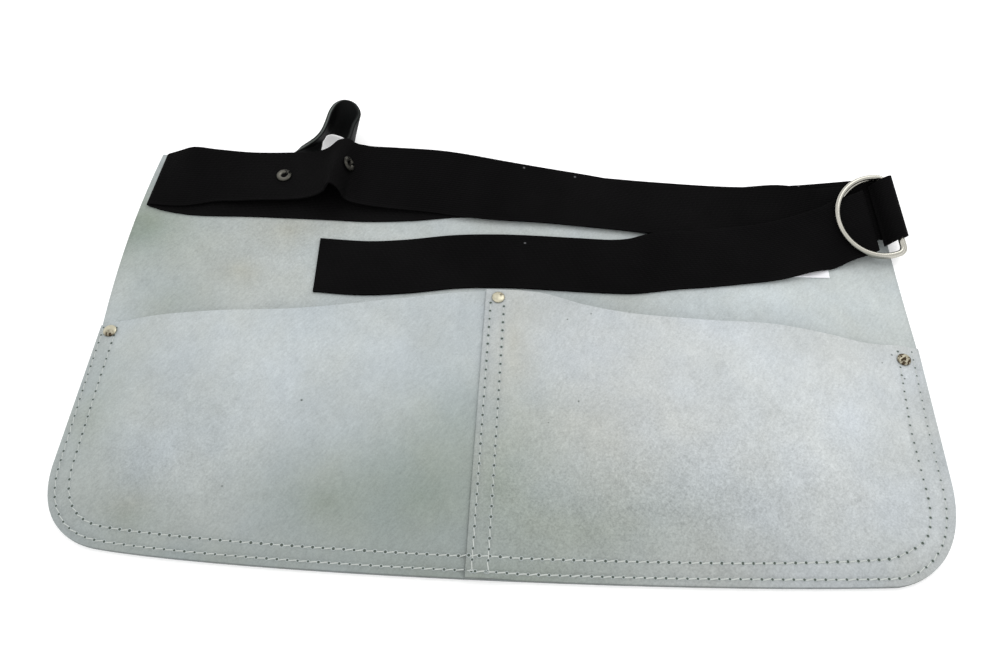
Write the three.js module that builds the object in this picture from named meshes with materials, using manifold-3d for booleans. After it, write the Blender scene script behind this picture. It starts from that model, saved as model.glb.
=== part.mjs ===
// Two-pocket leather nail apron lying on its back, its webbing belt fastened through a pair of D-rings.
// Millimetres, +Z up, X along the waist, Y from the hem up to the waist.
// The tables count from the foot of the middle seam; the last lines centre the whole on its footprint.

import * as THREE from 'three';
import { mergeVertices } from 'three/addons/utils/BufferGeometryUtils.js';
import Module from 'manifold-3d';

const wasm = await Module();
wasm.setup();

// Driving sizes
const GAP = 0.3;
const WELD = 1e-4;
const ROUND_SIDES = 16;
const DRILL_REACH = 20;
const HALVINGS = 30;
const PANEL_THICK = 1.8;
const FRONT_THICK = 1.7;
const WEB = { width: 47.5, thick: 1.6, across: 3, step: 8 };
const BAND = { thick: 3, across: 3, step: 6 };
const WIRE = { radius: 1.8, sides: 8, steps: 44 };
const D_RING = { radius: 30.5, depth: 41.2, cornerRadius: 5 };
const LAP = { width: 14, under: 13, runout: 20 };
const POCKET = { rows: 12, hemSteps: 15, cornerSteps: 7, fullness: 1.3 };
const LABEL = { left: 206, right: 244.5, foot: 228, top: 255, thick: 0.9 };

// Each stretch of the panel's outline: where it ends, and the control points that bend it
const OUTLINE_START = [-264.5, 322];
const OUTLINE = {
  leftSide: { to: [-263.2, 158], via: [[-272, 242]], steps: 6 },
  leftFlank: { to: [-262, 56], via: [], steps: 1 },
  leftCorner: { to: [-219.4, 6.2], via: [[-260.5, 26], [-244, 9]], steps: 8 },
  hem: { to: [250.5, 8.8], via: [[-140, -3], [120, -1.5]], steps: 16 },
  rightCorner: { to: [295.2, 72], via: [[273, 13], [294, 32]], steps: 8 },
  rightFlank: { to: [295, 168], via: [], steps: 1 },
  rightSide: { to: [291.5, 309], via: [[294.6, 190], [292, 215]], steps: 6 },
  waist: { to: OUTLINE_START, via: [[60, 307]], steps: 8 },
};

// Mouth of each pocket from its outer corner to the seam: plan position and how far the leather stands off
const MOUTH_LEFT = [
  { x: -263.3, y: 159.6, bulge: 0 },
  { x: -257.8, y: 161.8, bulge: 0 },
  { x: -248, y: 164.2, bulge: 0.3 },
  { x: -226, y: 166.8, bulge: 4.7 },
  { x: -190, y: 170, bulge: 8.5 },
  { x: -126, y: 175.5, bulge: 10 },
  { x: -59, y: 188.6, bulge: 7 },
  { x: -16, y: 200.5, bulge: 0.8 },
  { x: 0, y: 202.4, bulge: 0 },
  { x: 13, y: 202.5, bulge: 0 },
];
const MOUTH_RIGHT = [
  { x: 0, y: 203, bulge: 0 },
  { x: 14, y: 203.2, bulge: 0 },
  { x: 28, y: 203.2, bulge: 1.2 },
  { x: 41, y: 200.8, bulge: 3.2 },
  { x: 52, y: 196.4, bulge: 5 },
  { x: 64, y: 191.4, bulge: 6.7 },
  { x: 78, y: 187, bulge: 8.3 },
  { x: 92, y: 183.9, bulge: 9.5 },
  { x: 145, y: 179.4, bulge: 12 },
  { x: 199, y: 177.8, bulge: 12 },
  { x: 233, y: 174.2, bulge: 8 },
  { x: 256, y: 172.4, bulge: 3 },
  { x: 270, y: 172.6, bulge: 0.5 },
  { x: 283, y: 172.8, bulge: 0 },
  { x: 294.8, y: 170.8, bulge: 0 },
];

// The rings' seat: the middle of the belt where the ring arcs cross it, and how that stretch is turned
const RING_SEAT = { x: 257.7, y: 280.2, z: 10.6, yaw: 12, tilt: 17, pitch: 9 };
const RINGS = [
  { name: 'ring_upper', bar: 33.9, barAbove: 7.4, arcAbove: 13.2, slide: -8.6 },
  { name: 'ring_lower', bar: 36.8, barAbove: 3.3, arcAbove: 6, slide: -8.2 },
];

// The belt, from its sewn end to its free tail. Seat rows: along, across and above the rings' seat.
// Open rows: the middle of the webbing, its tilt (waist edge up) and its yaw (turned in plan), in degrees.
const BELT_ANCHOR = [
  { along: 24, across: -6.2, above: 1.95 },
  { along: 25.9, across: -6, above: 3.6 },
  { along: 27.5, across: -5.8, above: 6.6 },
  { along: 29.9, across: -5.5, above: 9.6 },
  { along: 33, across: -4.8, above: 10.9 },
  { along: 36.4, across: -3.8, above: 10.2 },
  { along: 39.2, across: -2.8, above: 7.4 },
  { along: 40.4, across: -2.2, above: 4 },
  { along: 39.8, across: -2, above: 1.4 },
  { along: 37.2, across: -2, above: 0.1 },
  { along: 33.4, across: -1.8, above: 0 },
  { along: 20, across: 0.4, above: 0 },
  { along: 0, across: 2.6, above: 0 },
];
const BELT_BASE = [
  { x: 218, y: 283.6, z: 6.2, tilt: 8, yaw: 3 },
  { x: 180, y: 285.4, z: 3.8, tilt: 1, yaw: -1 },
  { x: 120, y: 288.2, z: 3, tilt: 0, yaw: -2 },
  { x: 40, y: 293, z: 2.9, tilt: 0, yaw: -2 },
  { x: -24, y: 293.6, z: 2.9, tilt: 0, yaw: 4 },
  { x: -62, y: 288.2, z: 2.9, tilt: 0, yaw: 5 },
  { x: -95, y: 285.6, z: 2.9, tilt: 0, yaw: 2 },
  { x: -122, y: 285.8, z: 2.9, tilt: 0, yaw: 0 },
  { x: -179, y: 285.8, z: 2.9, tilt: 0, yaw: 2 },
  { x: -225, y: 285, z: 2.9, tilt: 0, yaw: -2 },
  { x: -246, y: 288, z: 2.9, tilt: 0, yaw: -5 },
  { x: -254.4, y: 290.5, z: 2.95, tilt: 0, yaw: -5 },
  { x: -258.2, y: 291.5, z: 3.6, tilt: 1, yaw: -5 },
  { x: -259.4, y: 292, z: 5.2, tilt: 3, yaw: -5 },
  { x: -257.7, y: 292, z: 6.9, tilt: 5, yaw: -5 },
];
const BELT_UPPER = [
  { x: -252.6, y: 291.8, z: 8, tilt: 8, yaw: -4 },
  { x: -244.4, y: 291, z: 10, tilt: 13, yaw: -2 },
  { x: -230, y: 291, z: 12.8, tilt: 19, yaw: 2 },
  { x: -214, y: 295.5, z: 9.7, tilt: 8, yaw: 8 },
  { x: -192, y: 296.2, z: 9.1, tilt: 2, yaw: 4 },
  { x: -176, y: 297, z: 9.3, tilt: 0, yaw: 3 },
  { x: -161, y: 297.8, z: 9.5, tilt: 0, yaw: 2 },
  { x: -148, y: 298.6, z: 10, tilt: -1, yaw: 2 },
  { x: -139, y: 298.8, z: 12, tilt: -2, yaw: 2 },
  { x: -131, y: 298.6, z: 15.8, tilt: -3, yaw: 2 },
  { x: -125.6, y: 298.8, z: 20.2, tilt: -3, yaw: 1 },
  { x: -122, y: 299, z: 24.6, tilt: -2, yaw: -2 },
  { x: -117.5, y: 298.9, z: 27.9, tilt: -4, yaw: -5 },
  { x: -113.4, y: 298.6, z: 26, tilt: 0, yaw: -4 },
  { x: -110.6, y: 298.3, z: 21.5, tilt: 4, yaw: -5 },
  { x: -108, y: 298, z: 17.6, tilt: 12, yaw: -8 },
  { x: -103.4, y: 297.2, z: 16.4, tilt: 16, yaw: -8 },
  { x: -96, y: 295.4, z: 16.6, tilt: 18, yaw: -5 },
  { x: -78, y: 293.8, z: 16.7, tilt: 23, yaw: -2 },
  { x: -45, y: 292.4, z: 16.2, tilt: 28, yaw: -2 },
  { x: -24, y: 290, z: 16, tilt: 28, yaw: -2 },
  { x: 5, y: 289.2, z: 12.8, tilt: 19, yaw: -2 },
  { x: 35, y: 289.6, z: 9.2, tilt: 10, yaw: -2 },
  { x: 65, y: 288.2, z: 7, tilt: 5, yaw: -3 },
  { x: 96, y: 286, z: 5.2, tilt: 0.5, yaw: -4 },
  { x: 126, y: 283.8, z: 4.9, tilt: 0, yaw: -2 },
  { x: 180, y: 282.8, z: 5.8, tilt: 1, yaw: 0 },
  { x: 216, y: 282.6, z: 8.3, tilt: 9, yaw: 4 },
];
const BELT_THROUGH = [
  { along: -14, across: -0.6, above: 2 },
  { along: 0, across: -2, above: 1.95 },
  { along: 11, across: -4.6, above: 1.95 },
  { along: 16, across: -7.6, above: 2.2 },
  { along: 18, across: -9.2, above: 5.1 },
  { along: 15, across: -10.8, above: 7.7 },
  { along: 8, across: -12.4, above: 8.1 },
  { along: 0.5, across: -13.7, above: 8.9 },
  { along: -5, across: -14.8, above: 9 },
  { along: -16, across: -17.6, above: 7.6 },
];
const BELT_TAIL = [
  { x: 225, y: 252.8, z: 8.6, tilt: 5, yaw: 19 },
  { x: 203, y: 246.4, z: 7, tilt: 6, yaw: 14 },
  { x: 174, y: 241.6, z: 5.8, tilt: 6, yaw: 10 },
  { x: 150, y: 237.8, z: 5.6, tilt: 6, yaw: 7 },
  { x: 132, y: 235.4, z: 5.9, tilt: 7, yaw: 6 },
  { x: 118, y: 232.8, z: 5.8, tilt: 7, yaw: 6 },
  { x: 104, y: 230.4, z: 4, tilt: 2, yaw: 5 },
  { x: 90, y: 229.8, z: 3.1, tilt: 0, yaw: 2 },
  { x: 66, y: 230, z: 3.1, tilt: 0, yaw: 0 },
  { x: 30, y: 230.6, z: 3.1, tilt: 0, yaw: 0 },
  { x: 8, y: 230.4, z: 3.1, tilt: 0, yaw: 1 },
  { x: -23, y: 228.2, z: 3.1, tilt: 0, yaw: 6 },
  { x: -60, y: 221.9, z: 3, tilt: 0, yaw: 7 },
  { x: -89, y: 219, z: 3, tilt: 0, yaw: 2 },
  { x: -124, y: 219.9, z: 3, tilt: 0, yaw: 3 },
];

// The hammer loop, from its left end to its right end: where the band's two edges run. The rim is the
// upper edge where the band stands, and the left edge where it lies flat.
const LOOP = [
  { rim: [-175.8, 289.9, 6.5], foot: [-154.2, 282.1, 6.5] },
  { rim: [-171.8, 300.9, 6.5], foot: [-150.2, 293.1, 6.5] },
  { rim: [-166.6, 312, 6.5], foot: [-144.8, 306, 6.5] },
  { rim: [-160.6, 322.6, 6.9], foot: [-139.8, 321, 6.2] },
  { rim: [-152.8, 327.4, 10], foot: [-139.5, 335, 4.7] },
  { rim: [-145.2, 329.1, 14.7], foot: [-140.5, 341.5, 3.2] },
  { rim: [-139.8, 330.5, 18.6], foot: [-140.5, 346.5, 2.4] },
  { rim: [-135.4, 334.5, 22.2], foot: [-139.8, 350.4, 2] },
  { rim: [-132.8, 342, 25], foot: [-137.9, 352, 2] },
  { rim: [-130.9, 351, 27.2], foot: [-134.8, 352.6, 2] },
  { rim: [-127.6, 358, 28.4], foot: [-131.5, 351.4, 2.3] },
  { rim: [-121.8, 361.5, 29], foot: [-126.5, 349, 2.8] },
  { rim: [-113.6, 358.8, 28.6], foot: [-121.5, 345.2, 4] },
  { rim: [-108.4, 349, 27.4], foot: [-116.2, 341.2, 5.5] },
  { rim: [-111.2, 338, 26.3], foot: [-114.2, 332.4, 6.5] },
  { rim: [-112.8, 328, 24.6], foot: [-112.4, 324.6, 5.6] },
  { rim: [-115.2, 319, 23.8], foot: [-109.2, 317, 4.9] },
  { rim: [-117.6, 308, 24.7], foot: [-106.5, 307, 5] },
  { rim: [-118, 299, 24.9], foot: [-106.5, 299, 5] },
  { rim: [-118, 290, 24.9], foot: [-106.5, 290, 5] },
];

// Rivets: pocket rivets stand upright; a loop rivet's axis leans from upright toward +X
const POCKET_RIVET = {
  head: 4.6, dome: 1.8, domeSteps: 4, rim: 0.6, shank: 1.6, cap: 4.4, capThick: 0.7, seatDepth: 1,
};
const POCKET_RIVETS = [
  { name: 'rivet_left', x: -255.6, y: 155.3, fronts: 1 },
  { name: 'rivet_centre', x: 8.7, y: 196, fronts: 2 },
  { name: 'rivet_right', x: 283.2, y: 161.4, fronts: 1 },
];
const LOOP_RIVET = {
  head: 5.8, taper: 0.2, crown: 4.6, rim: 1.5, lip: 2.8, bore: 2, shank: 2.8, cap: 5, capThick: 0.6,
};
const LOOP_RIVETS = [
  { name: 'loop_rivet_left', x: -161, y: 297, z: 6.5, axisLean: 0, webAbove: 3 },
  { name: 'loop_rivet_right', x: -115.4, y: 299.5, z: 20.4, axisLean: 60, webAbove: 5.6 },
];

// Finishes
const leather = new THREE.MeshStandardMaterial({ color: '#bcc4c2', roughness: 0.95, metalness: 0 });
const webbing = new THREE.MeshStandardMaterial({ color: '#0d0d0e', roughness: 0.85, metalness: 0 });
const blackLeather = new THREE.MeshStandardMaterial({ color: '#17181a', roughness: 0.6, metalness: 0 });
const nickel = new THREE.MeshStandardMaterial({ color: '#c9c6b8', roughness: 0.3, metalness: 1 });
const tagCloth = new THREE.MeshStandardMaterial({ color: '#f1f2f4', roughness: 0.8, metalness: 0 });

const radians = THREE.MathUtils.degToRad;

// Smooth value of one column between a table's rows, read at a place along another column
function between(rows, key, column, at) {
  const last = rows.length - 1;
  let i = 0;
  while (i < last - 1 && at > rows[i + 1][key]) i += 1;
  const span = (from, to) => rows[to][key] - rows[from][key];
  const slope = (from, to) => (rows[to][column] - rows[from][column]) / span(from, to);
  const t = THREE.MathUtils.clamp((at - rows[i][key]) / span(i, i + 1), 0, 1);
  const start = slope(Math.max(i - 1, 0), i + 1) * span(i, i + 1);
  const end = slope(i, Math.min(i + 2, last)) * span(i, i + 1);
  const rise = rows[i + 1][column] - rows[i][column];
  return rows[i][column] + t * (start + t * (3 * rise - 2 * start - end + t * (start + end - 2 * rise)));
}

// The panel outline as named curves
function outlineCurves() {
  const curves = {};
  let from = new THREE.Vector2(...OUTLINE_START);
  for (const [name, { to, via }] of Object.entries(OUTLINE)) {
    const end = new THREE.Vector2(...to);
    const bends = via.map((point) => new THREE.Vector2(...point));
    const kinds = [THREE.LineCurve, THREE.QuadraticBezierCurve, THREE.CubicBezierCurve];
    curves[name] = new kinds[bends.length](from, ...bends, end);
    from = end;
  }
  return curves;
}

const edge = outlineCurves();

// Closed solid from a grid of columns, each a list of points on the upper face and one on the lower face
function sheetGeometry(columns) {
  const rows = columns[0].upper.length;
  const loop = 2 * rows;
  const points = columns.flatMap(({ upper, lower }) => [...upper, ...lower.toReversed()]);
  const index = [];
  const quad = (a, b, c, d) => index.push(a, c, b, a, d, c);
  for (let i = 0; i < columns.length - 1; i += 1) {
    for (let j = 0; j < loop; j += 1) {
      const next = (j + 1) % loop;
      quad(i * loop + j, (i + 1) * loop + j, (i + 1) * loop + next, i * loop + next);
    }
  }
  const last = (columns.length - 1) * loop;
  for (let j = 0; j < rows - 1; j += 1) {
    quad(j, j + 1, loop - 2 - j, loop - 1 - j);
    quad(last + loop - 1 - j, last + loop - 2 - j, last + j + 1, last + j);
  }
  const geometry = new THREE.BufferGeometry().setFromPoints(points);
  geometry.setIndex(index);
  geometry.computeVertexNormals();
  return geometry;
}

// Long strip swept through stations that give its middle and the reach from there to its edge
function stripGeometry(stations, { thick, across, step }) {
  const middles = new THREE.CatmullRomCurve3(stations.map(({ middle }) => middle));
  const reaches = new THREE.CatmullRomCurve3(stations.map(({ reach }) => reach), false, 'catmullrom', 0.5);
  const spans = stations.length - 1;
  const places = [0];
  for (let i = 0; i < spans; i += 1) {
    const length = stations[i].middle.distanceTo(stations[i + 1].middle);
    const count = Math.ceil(length / step);
    for (let k = 1; k <= count; k += 1) places.push((i + k / count) / spans);
  }
  const columns = places.map((t) => {
    const middle = middles.getPoint(t);
    const reach = reaches.getPoint(t);
    const face = middles.getTangent(t).cross(reach).setLength(thick / 2);
    const column = { upper: [], lower: [] };
    for (let j = 0; j <= across; j += 1) {
      const point = middle.clone().addScaledVector(reach, 1 - (2 * j) / across);
      column.upper.push(point.clone().add(face));
      column.lower.push(point.clone().sub(face));
    }
    return column;
  });
  return sheetGeometry(columns);
}

// Boolean cut: the first geometry less all the others
function cut(geometry, tools) {
  const solid = (shape) => {
    const bare = mergeVertices(positionsOnly(shape), WELD);
    const mesh = new wasm.Mesh({
      numProp: 3,
      vertProperties: new Float32Array(bare.attributes.position.array),
      triVerts: new Uint32Array(bare.index.array),
    });
    mesh.merge();
    return new wasm.Manifold(mesh);
  };
  const cutMesh = tools.reduce((body, tool) => body.subtract(solid(tool)), solid(geometry)).getMesh();
  const result = new THREE.BufferGeometry();
  result.setAttribute('position', new THREE.BufferAttribute(cutMesh.vertProperties, 3));
  result.setIndex(new THREE.BufferAttribute(cutMesh.triVerts, 1));
  result.computeVertexNormals();
  return result;
}

function positionsOnly(shape) {
  const bare = shape.clone();
  bare.deleteAttribute('normal');
  bare.deleteAttribute('uv');
  return bare;
}

// Round tool for a hole, standing on a point and running up an axis
function drill(radius, length, foot, axis = new THREE.Vector3(0, 0, 1)) {
  const tool = new THREE.CylinderGeometry(radius, radius, length, ROUND_SIDES);
  tool.translate(0, length / 2, 0);
  tool.applyQuaternion(new THREE.Quaternion().setFromUnitVectors(new THREE.Vector3(0, 1, 0), axis));
  return tool.translate(foot.x, foot.y, foot.z);
}

function mesh(name, geometry, material) {
  const piece = new THREE.Mesh(geometry, material);
  piece.name = name;
  return piece;
}

// Leather panel with a hole and a sunk seat for each pocket rivet
function backPanel() {
  const points = Object.entries(edge).flatMap(([name, curve]) =>
    curve.getPoints(OUTLINE[name].steps).slice(1));
  const shape = new THREE.Shape(points);
  const sheet = new THREE.ExtrudeGeometry(shape, { depth: PANEL_THICK, bevelEnabled: false });
  const { shank, cap, seatDepth } = POCKET_RIVET;
  const tools = POCKET_RIVETS.flatMap(({ x, y }) => [
    drill(shank + GAP, DRILL_REACH, { x, y, z: -PANEL_THICK }),
    drill(cap + GAP, PANEL_THICK + seatDepth, { x, y, z: -PANEL_THICK }),
  ]);
  return mesh('back_panel', cut(sheet, tools), leather);
}

// Plan line along the foot of a pocket: a bottom corner, then the hem as far as the seam
function pocketFoot(corner, hemFrom, hemTo) {
  const run = corner.getPoints(POCKET.cornerSteps);
  for (let i = 1; i <= POCKET.hemSteps; i += 1) {
    run.push(edge.hem.getPoint(THREE.MathUtils.lerp(hemFrom, hemTo, i / POCKET.hemSteps)));
  }
  return run;
}

// Share of the hem curve at which it reaches x
function hemShareAt(x) {
  let [low, high] = [0, 1];
  for (let halving = 0; halving < HALVINGS; halving += 1) {
    const middle = (low + high) / 2;
    if (edge.hem.getPoint(middle).x < x) low = middle;
    else high = middle;
  }
  return low;
}

// Pocket front: a leather sheet that stands off the panel toward its mouth and is sewn down at its edges
function pocketFront(name, foot, mouth, seat) {
  const ends = [mouth[0].x, mouth.at(-1).x];
  const ordered = foot.toSorted((a, b) => a.x - b.x);
  const columns = ordered.map(({ x, y: footY }) => {
    const share = (x - ordered[0].x) / (ordered.at(-1).x - ordered[0].x);
    const mouthX = THREE.MathUtils.lerp(ends[0], ends[1], share);
    const mouthY = between(mouth, 'x', 'y', mouthX);
    const bulge = Math.max(0, between(mouth, 'x', 'bulge', mouthX));
    const column = { upper: [], lower: [] };
    for (let j = POCKET.rows; j >= 0; j -= 1) {
      const up = j / POCKET.rows;
      const stand = seat(x) + bulge * Math.sin((up * Math.PI) / 2) ** POCKET.fullness;
      const point = new THREE.Vector3(
        THREE.MathUtils.lerp(x, mouthX, up), THREE.MathUtils.lerp(footY, mouthY, up), stand);
      column.lower.push(point);
      column.upper.push(point.clone().setZ(stand + FRONT_THICK));
    }
    return column;
  });
  const tools = POCKET_RIVETS.map(({ x, y }) =>
    drill(POCKET_RIVET.shank + GAP, DRILL_REACH, { x, y, z: 0 }));
  return mesh(name, cut(sheetGeometry(columns), tools), leather);
}

function pockets() {
  const seatHeight = PANEL_THICK + GAP;
  const leftFoot = pocketFoot(edge.leftCorner, 0, hemShareAt(LAP.under));
  const rightFoot = pocketFoot(
    new THREE.CubicBezierCurve(...['v3', 'v2', 'v1', 'v0'].map((end) => edge.rightCorner[end])),
    1, hemShareAt(0));
  const lapped = (x) => {
    const runout = THREE.MathUtils.smoothstep(x, LAP.width, LAP.width + LAP.runout);
    return seatHeight + (FRONT_THICK + GAP) * (1 - runout);
  };
  return [
    pocketFront('pocket_left', leftFoot, MOUTH_LEFT, () => seatHeight),
    pocketFront('pocket_right', rightFoot, MOUTH_RIGHT, lapped),
  ];
}

// Solid rivet: cap sunk into the panel's back, shank through the leather, domed head on the front
function pocketRivet({ name, x, y, fronts }) {
  const { head, dome, domeSteps, rim, shank, cap, capThick, seatDepth } = POCKET_RIVET;
  const top = PANEL_THICK + fronts * (GAP + FRONT_THICK) + GAP;
  const capTop = seatDepth - GAP;
  const profile = [[0, capTop - capThick], [cap, capTop - capThick], [cap, capTop], [shank, capTop],
    [shank, top], [head, top], [head, top + rim]];
  for (let i = 1; i < domeSteps; i += 1) {
    const angle = (i / domeSteps) * (Math.PI / 2);
    profile.push([head * Math.cos(angle), top + rim + (dome - rim) * Math.sin(angle)]);
  }
  profile.push([0, top + dome]);
  const solid = new THREE.LatheGeometry(profile.map((point) => new THREE.Vector2(...point)), ROUND_SIDES);
  solid.rotateX(Math.PI / 2);
  const rivet = mesh(name, solid, nickel);
  rivet.position.set(x, y, 0);
  return rivet;
}

const seatFrame = new THREE.Matrix4().makeRotationFromEuler(new THREE.Euler(
  radians(RING_SEAT.tilt), radians(-RING_SEAT.pitch), radians(RING_SEAT.yaw), 'ZXY'))
  .setPosition(RING_SEAT.x, RING_SEAT.y, RING_SEAT.z);
const seatReach = new THREE.Vector3().setFromMatrixColumn(seatFrame, 1).setLength(WEB.width / 2);

function seatStation({ along, across, above }) {
  const middle = new THREE.Vector3(along, across, above).applyMatrix4(seatFrame);
  return { middle, reach: seatReach.clone() };
}

function openStation({ x, y, z, tilt, yaw }) {
  const [lift, turn] = [radians(tilt), radians(yaw)];
  const reach = new THREE.Vector3(
    -Math.sin(turn) * Math.cos(lift), Math.cos(turn) * Math.cos(lift), Math.sin(lift));
  return { middle: new THREE.Vector3(x, y, z), reach: reach.setLength(WEB.width / 2) };
}

function rivetAxis({ axisLean }) {
  return new THREE.Vector3(Math.sin(radians(axisLean)), 0, Math.cos(radians(axisLean)));
}

// Holes for the two loop rivets, drilled along each rivet's axis through the band and the webbing over it
function loopRivetDrills() {
  return LOOP_RIVETS.map((rivet) => {
    const axis = rivetAxis(rivet);
    const foot = new THREE.Vector3(rivet.x, rivet.y, rivet.z).addScaledVector(axis, -BAND.thick);
    return drill(LOOP_RIVET.shank + GAP, BAND.thick + rivet.webAbove + WEB.thick, foot, axis);
  });
}

function belt() {
  const stations = [
    ...BELT_ANCHOR.map(seatStation),
    ...BELT_BASE.map(openStation),
    ...BELT_UPPER.map(openStation),
    ...BELT_THROUGH.map(seatStation),
    ...BELT_TAIL.map(openStation),
  ];
  return mesh('belt', cut(stripGeometry(stations, WEB), loopRivetDrills()), webbing);
}

// Leather band whose left end lies flat under the belt and whose right end stands inside the belt's pleat
function hammerLoop() {
  const stations = LOOP.map(({ rim, foot }) => {
    const [top, bottom] = [new THREE.Vector3(...rim), new THREE.Vector3(...foot)];
    return { middle: top.clone().lerp(bottom, 0.5), reach: top.sub(bottom).divideScalar(2) };
  });
  return mesh('hammer_loop', cut(stripGeometry(stations, BAND), loopRivetDrills()), blackLeather);
}

// Tubular rivet: flat cap under the band, hollow shank, rolled head over the webbing
function loopRivet(row) {
  const { head, taper, crown, rim, lip, bore, shank, cap, capThick } = LOOP_RIVET;
  const capTop = -BAND.thick / 2 - GAP;
  const seat = row.webAbove + WEB.thick / 2 + GAP;
  const profile = [[0, capTop - capThick], [cap, capTop - capThick], [cap, capTop], [shank, capTop],
    [shank, seat], [head, seat], [head - taper, seat + rim / 2], [crown, seat + rim],
    [lip, seat + rim], [bore, seat + rim / 2], [bore, seat - WEB.thick], [0, seat - WEB.thick]];
  const solid = new THREE.LatheGeometry(profile.map((point) => new THREE.Vector2(...point)), ROUND_SIDES);
  solid.applyQuaternion(new THREE.Quaternion().setFromUnitVectors(
    new THREE.Vector3(0, 1, 0), rivetAxis(row)));
  const rivet = mesh(row.name, solid, nickel);
  rivet.position.set(row.x, row.y, row.z);
  return rivet;
}

// Outline of a D-ring's wire in its own plane: bar at x = 0, then a round arc toward -x
function dRingCurve() {
  const { radius, depth, cornerRadius } = D_RING;
  const back = depth - radius;
  const barHalf = Math.sqrt((radius - cornerRadius) ** 2 - (back - cornerRadius) ** 2);
  const turn = Math.atan2(barHalf, back - cornerRadius);
  const path = new THREE.Path();
  path.moveTo(0, 0);
  path.lineTo(0, barHalf);
  path.absarc(-cornerRadius, barHalf, cornerRadius, 0, turn, false);
  path.absarc(-back, 0, radius, turn, 2 * Math.PI - turn, false);
  path.absarc(-cornerRadius, -barHalf, cornerRadius, -turn, 0, false);
  path.lineTo(0, 0);
  return path;
}

// Closed round wire along a plane curve
function wireGeometry(curve, { radius, sides, steps }) {
  const points = curve.getSpacedPoints(steps).slice(0, steps);
  const index = [];
  const positions = [];
  points.forEach((point, i) => {
    const along = points[(i + 1) % steps].clone().sub(points[(i + steps - 1) % steps]).normalize();
    const outward = new THREE.Vector2(along.y, -along.x);
    for (let j = 0; j < sides; j += 1) {
      const angle = (j / sides) * 2 * Math.PI;
      const reach = radius * Math.cos(angle);
      positions.push(new THREE.Vector3(
        point.x + outward.x * reach, point.y + outward.y * reach, radius * Math.sin(angle)));
      const [here, next] = [i * sides, ((i + 1) % steps) * sides];
      const beside = (j + 1) % sides;
      index.push(here + j, next + j, next + beside, here + j, next + beside, here + beside);
    }
  });
  const geometry = new THREE.BufferGeometry().setFromPoints(positions);
  geometry.setIndex(index);
  geometry.computeVertexNormals();
  return geometry;
}

// Both rings hang by their bars in the belt's folded end and lie over it toward the left
function rings() {
  const seat = new THREE.Group();
  seat.applyMatrix4(seatFrame);
  for (const { name, bar, barAbove, arcAbove, slide } of RINGS) {
    const ring = mesh(name, wireGeometry(dRingCurve(), WIRE), nickel);
    ring.position.set(bar, slide, barAbove);
    ring.rotation.y = Math.asin((arcAbove - barAbove) / D_RING.depth);
    seat.add(ring);
  }
  return seat;
}

// Bare cloth tag tucked under the belt's lower edge
function label() {
  const { left, right, foot, top, thick } = LABEL;
  const tag = mesh('label', new THREE.BoxGeometry(right - left, top - foot, thick), tagCloth);
  tag.position.set((left + right) / 2, (foot + top) / 2, PANEL_THICK + GAP + thick / 2);
  return tag;
}

const assembly = new THREE.Group();
assembly.add(backPanel(), ...pockets(), belt(), hammerLoop(), rings(), label());
assembly.add(...POCKET_RIVETS.map(pocketRivet), ...LOOP_RIVETS.map(loopRivet));

// Centre the footprint on the origin and stand the lowest point on Z = 0
const apron = new THREE.Group();
apron.add(assembly);
const bounds = new THREE.Box3().setFromObject(apron, true);
const centre = bounds.getCenter(new THREE.Vector3());
assembly.position.set(-centre.x, -centre.y, -bounds.min.z);

export default apron;
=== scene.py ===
"""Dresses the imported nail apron.

Makes its suede panel and pockets, folded webbing belt, hammer loop, rings, rivets, tag and stitching.
"""

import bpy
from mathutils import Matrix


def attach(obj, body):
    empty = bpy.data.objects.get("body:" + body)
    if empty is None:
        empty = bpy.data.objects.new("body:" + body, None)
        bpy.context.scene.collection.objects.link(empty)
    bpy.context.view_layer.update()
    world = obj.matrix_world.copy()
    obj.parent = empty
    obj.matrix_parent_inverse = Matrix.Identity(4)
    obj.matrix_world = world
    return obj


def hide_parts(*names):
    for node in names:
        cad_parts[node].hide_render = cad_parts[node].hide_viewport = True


bl_info = {
    "name": "Nail apron",
    "version": (1, 0, 0),
    "blender": (4, 5, 0),
    "location": "3D View > Sidebar > Apron",
    "description": "Makes a suede nail apron with a webbing belt, D-rings and a hammer loop",
    "category": "Object",
}

import math

import bpy
import numpy as np
from bpy.props import FloatProperty, FloatVectorProperty, PointerProperty
from mathutils import Matrix, Vector
from mathutils.bvhtree import BVHTree

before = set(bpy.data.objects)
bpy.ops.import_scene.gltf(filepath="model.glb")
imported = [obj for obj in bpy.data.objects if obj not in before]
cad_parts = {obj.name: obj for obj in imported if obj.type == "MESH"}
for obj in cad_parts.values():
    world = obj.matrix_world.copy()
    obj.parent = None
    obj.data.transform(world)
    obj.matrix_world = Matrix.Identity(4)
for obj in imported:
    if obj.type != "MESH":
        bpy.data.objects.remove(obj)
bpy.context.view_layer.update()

# Tables are in millimetres, measured from the foot of the centre seam, where they don't say metres
MM = 0.001
SEAM_FOOT = np.array((-17.38, -181.46, 0.0))
LAYER_GAP = 0.3
# Lowest edge of the hem in the apron's frame, in metres
HEM_Y = -0.1815

# Runs of the panel's outline in order, each from the end of the one before: bends, then the end
OUTLINE_START = (-264.5, 322)
OUTLINE = {
    "left_side": [(-272, 242), (-263.2, 158)],
    "left_flank": [(-262, 56)],
    "left_corner": [(-260.5, 26), (-244, 9), (-219.4, 6.2)],
    "hem": [(-140, -3), (120, -1.5), (250.5, 8.8)],
    "right_corner": [(273, 13), (294, 32), (295.2, 72)],
    "right_flank": [(295, 168)],
    "right_side": [(294.6, 190), (292, 215), (291.5, 309)],
    "waist": [(60, 307), (-264.5, 322)],
}

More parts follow.
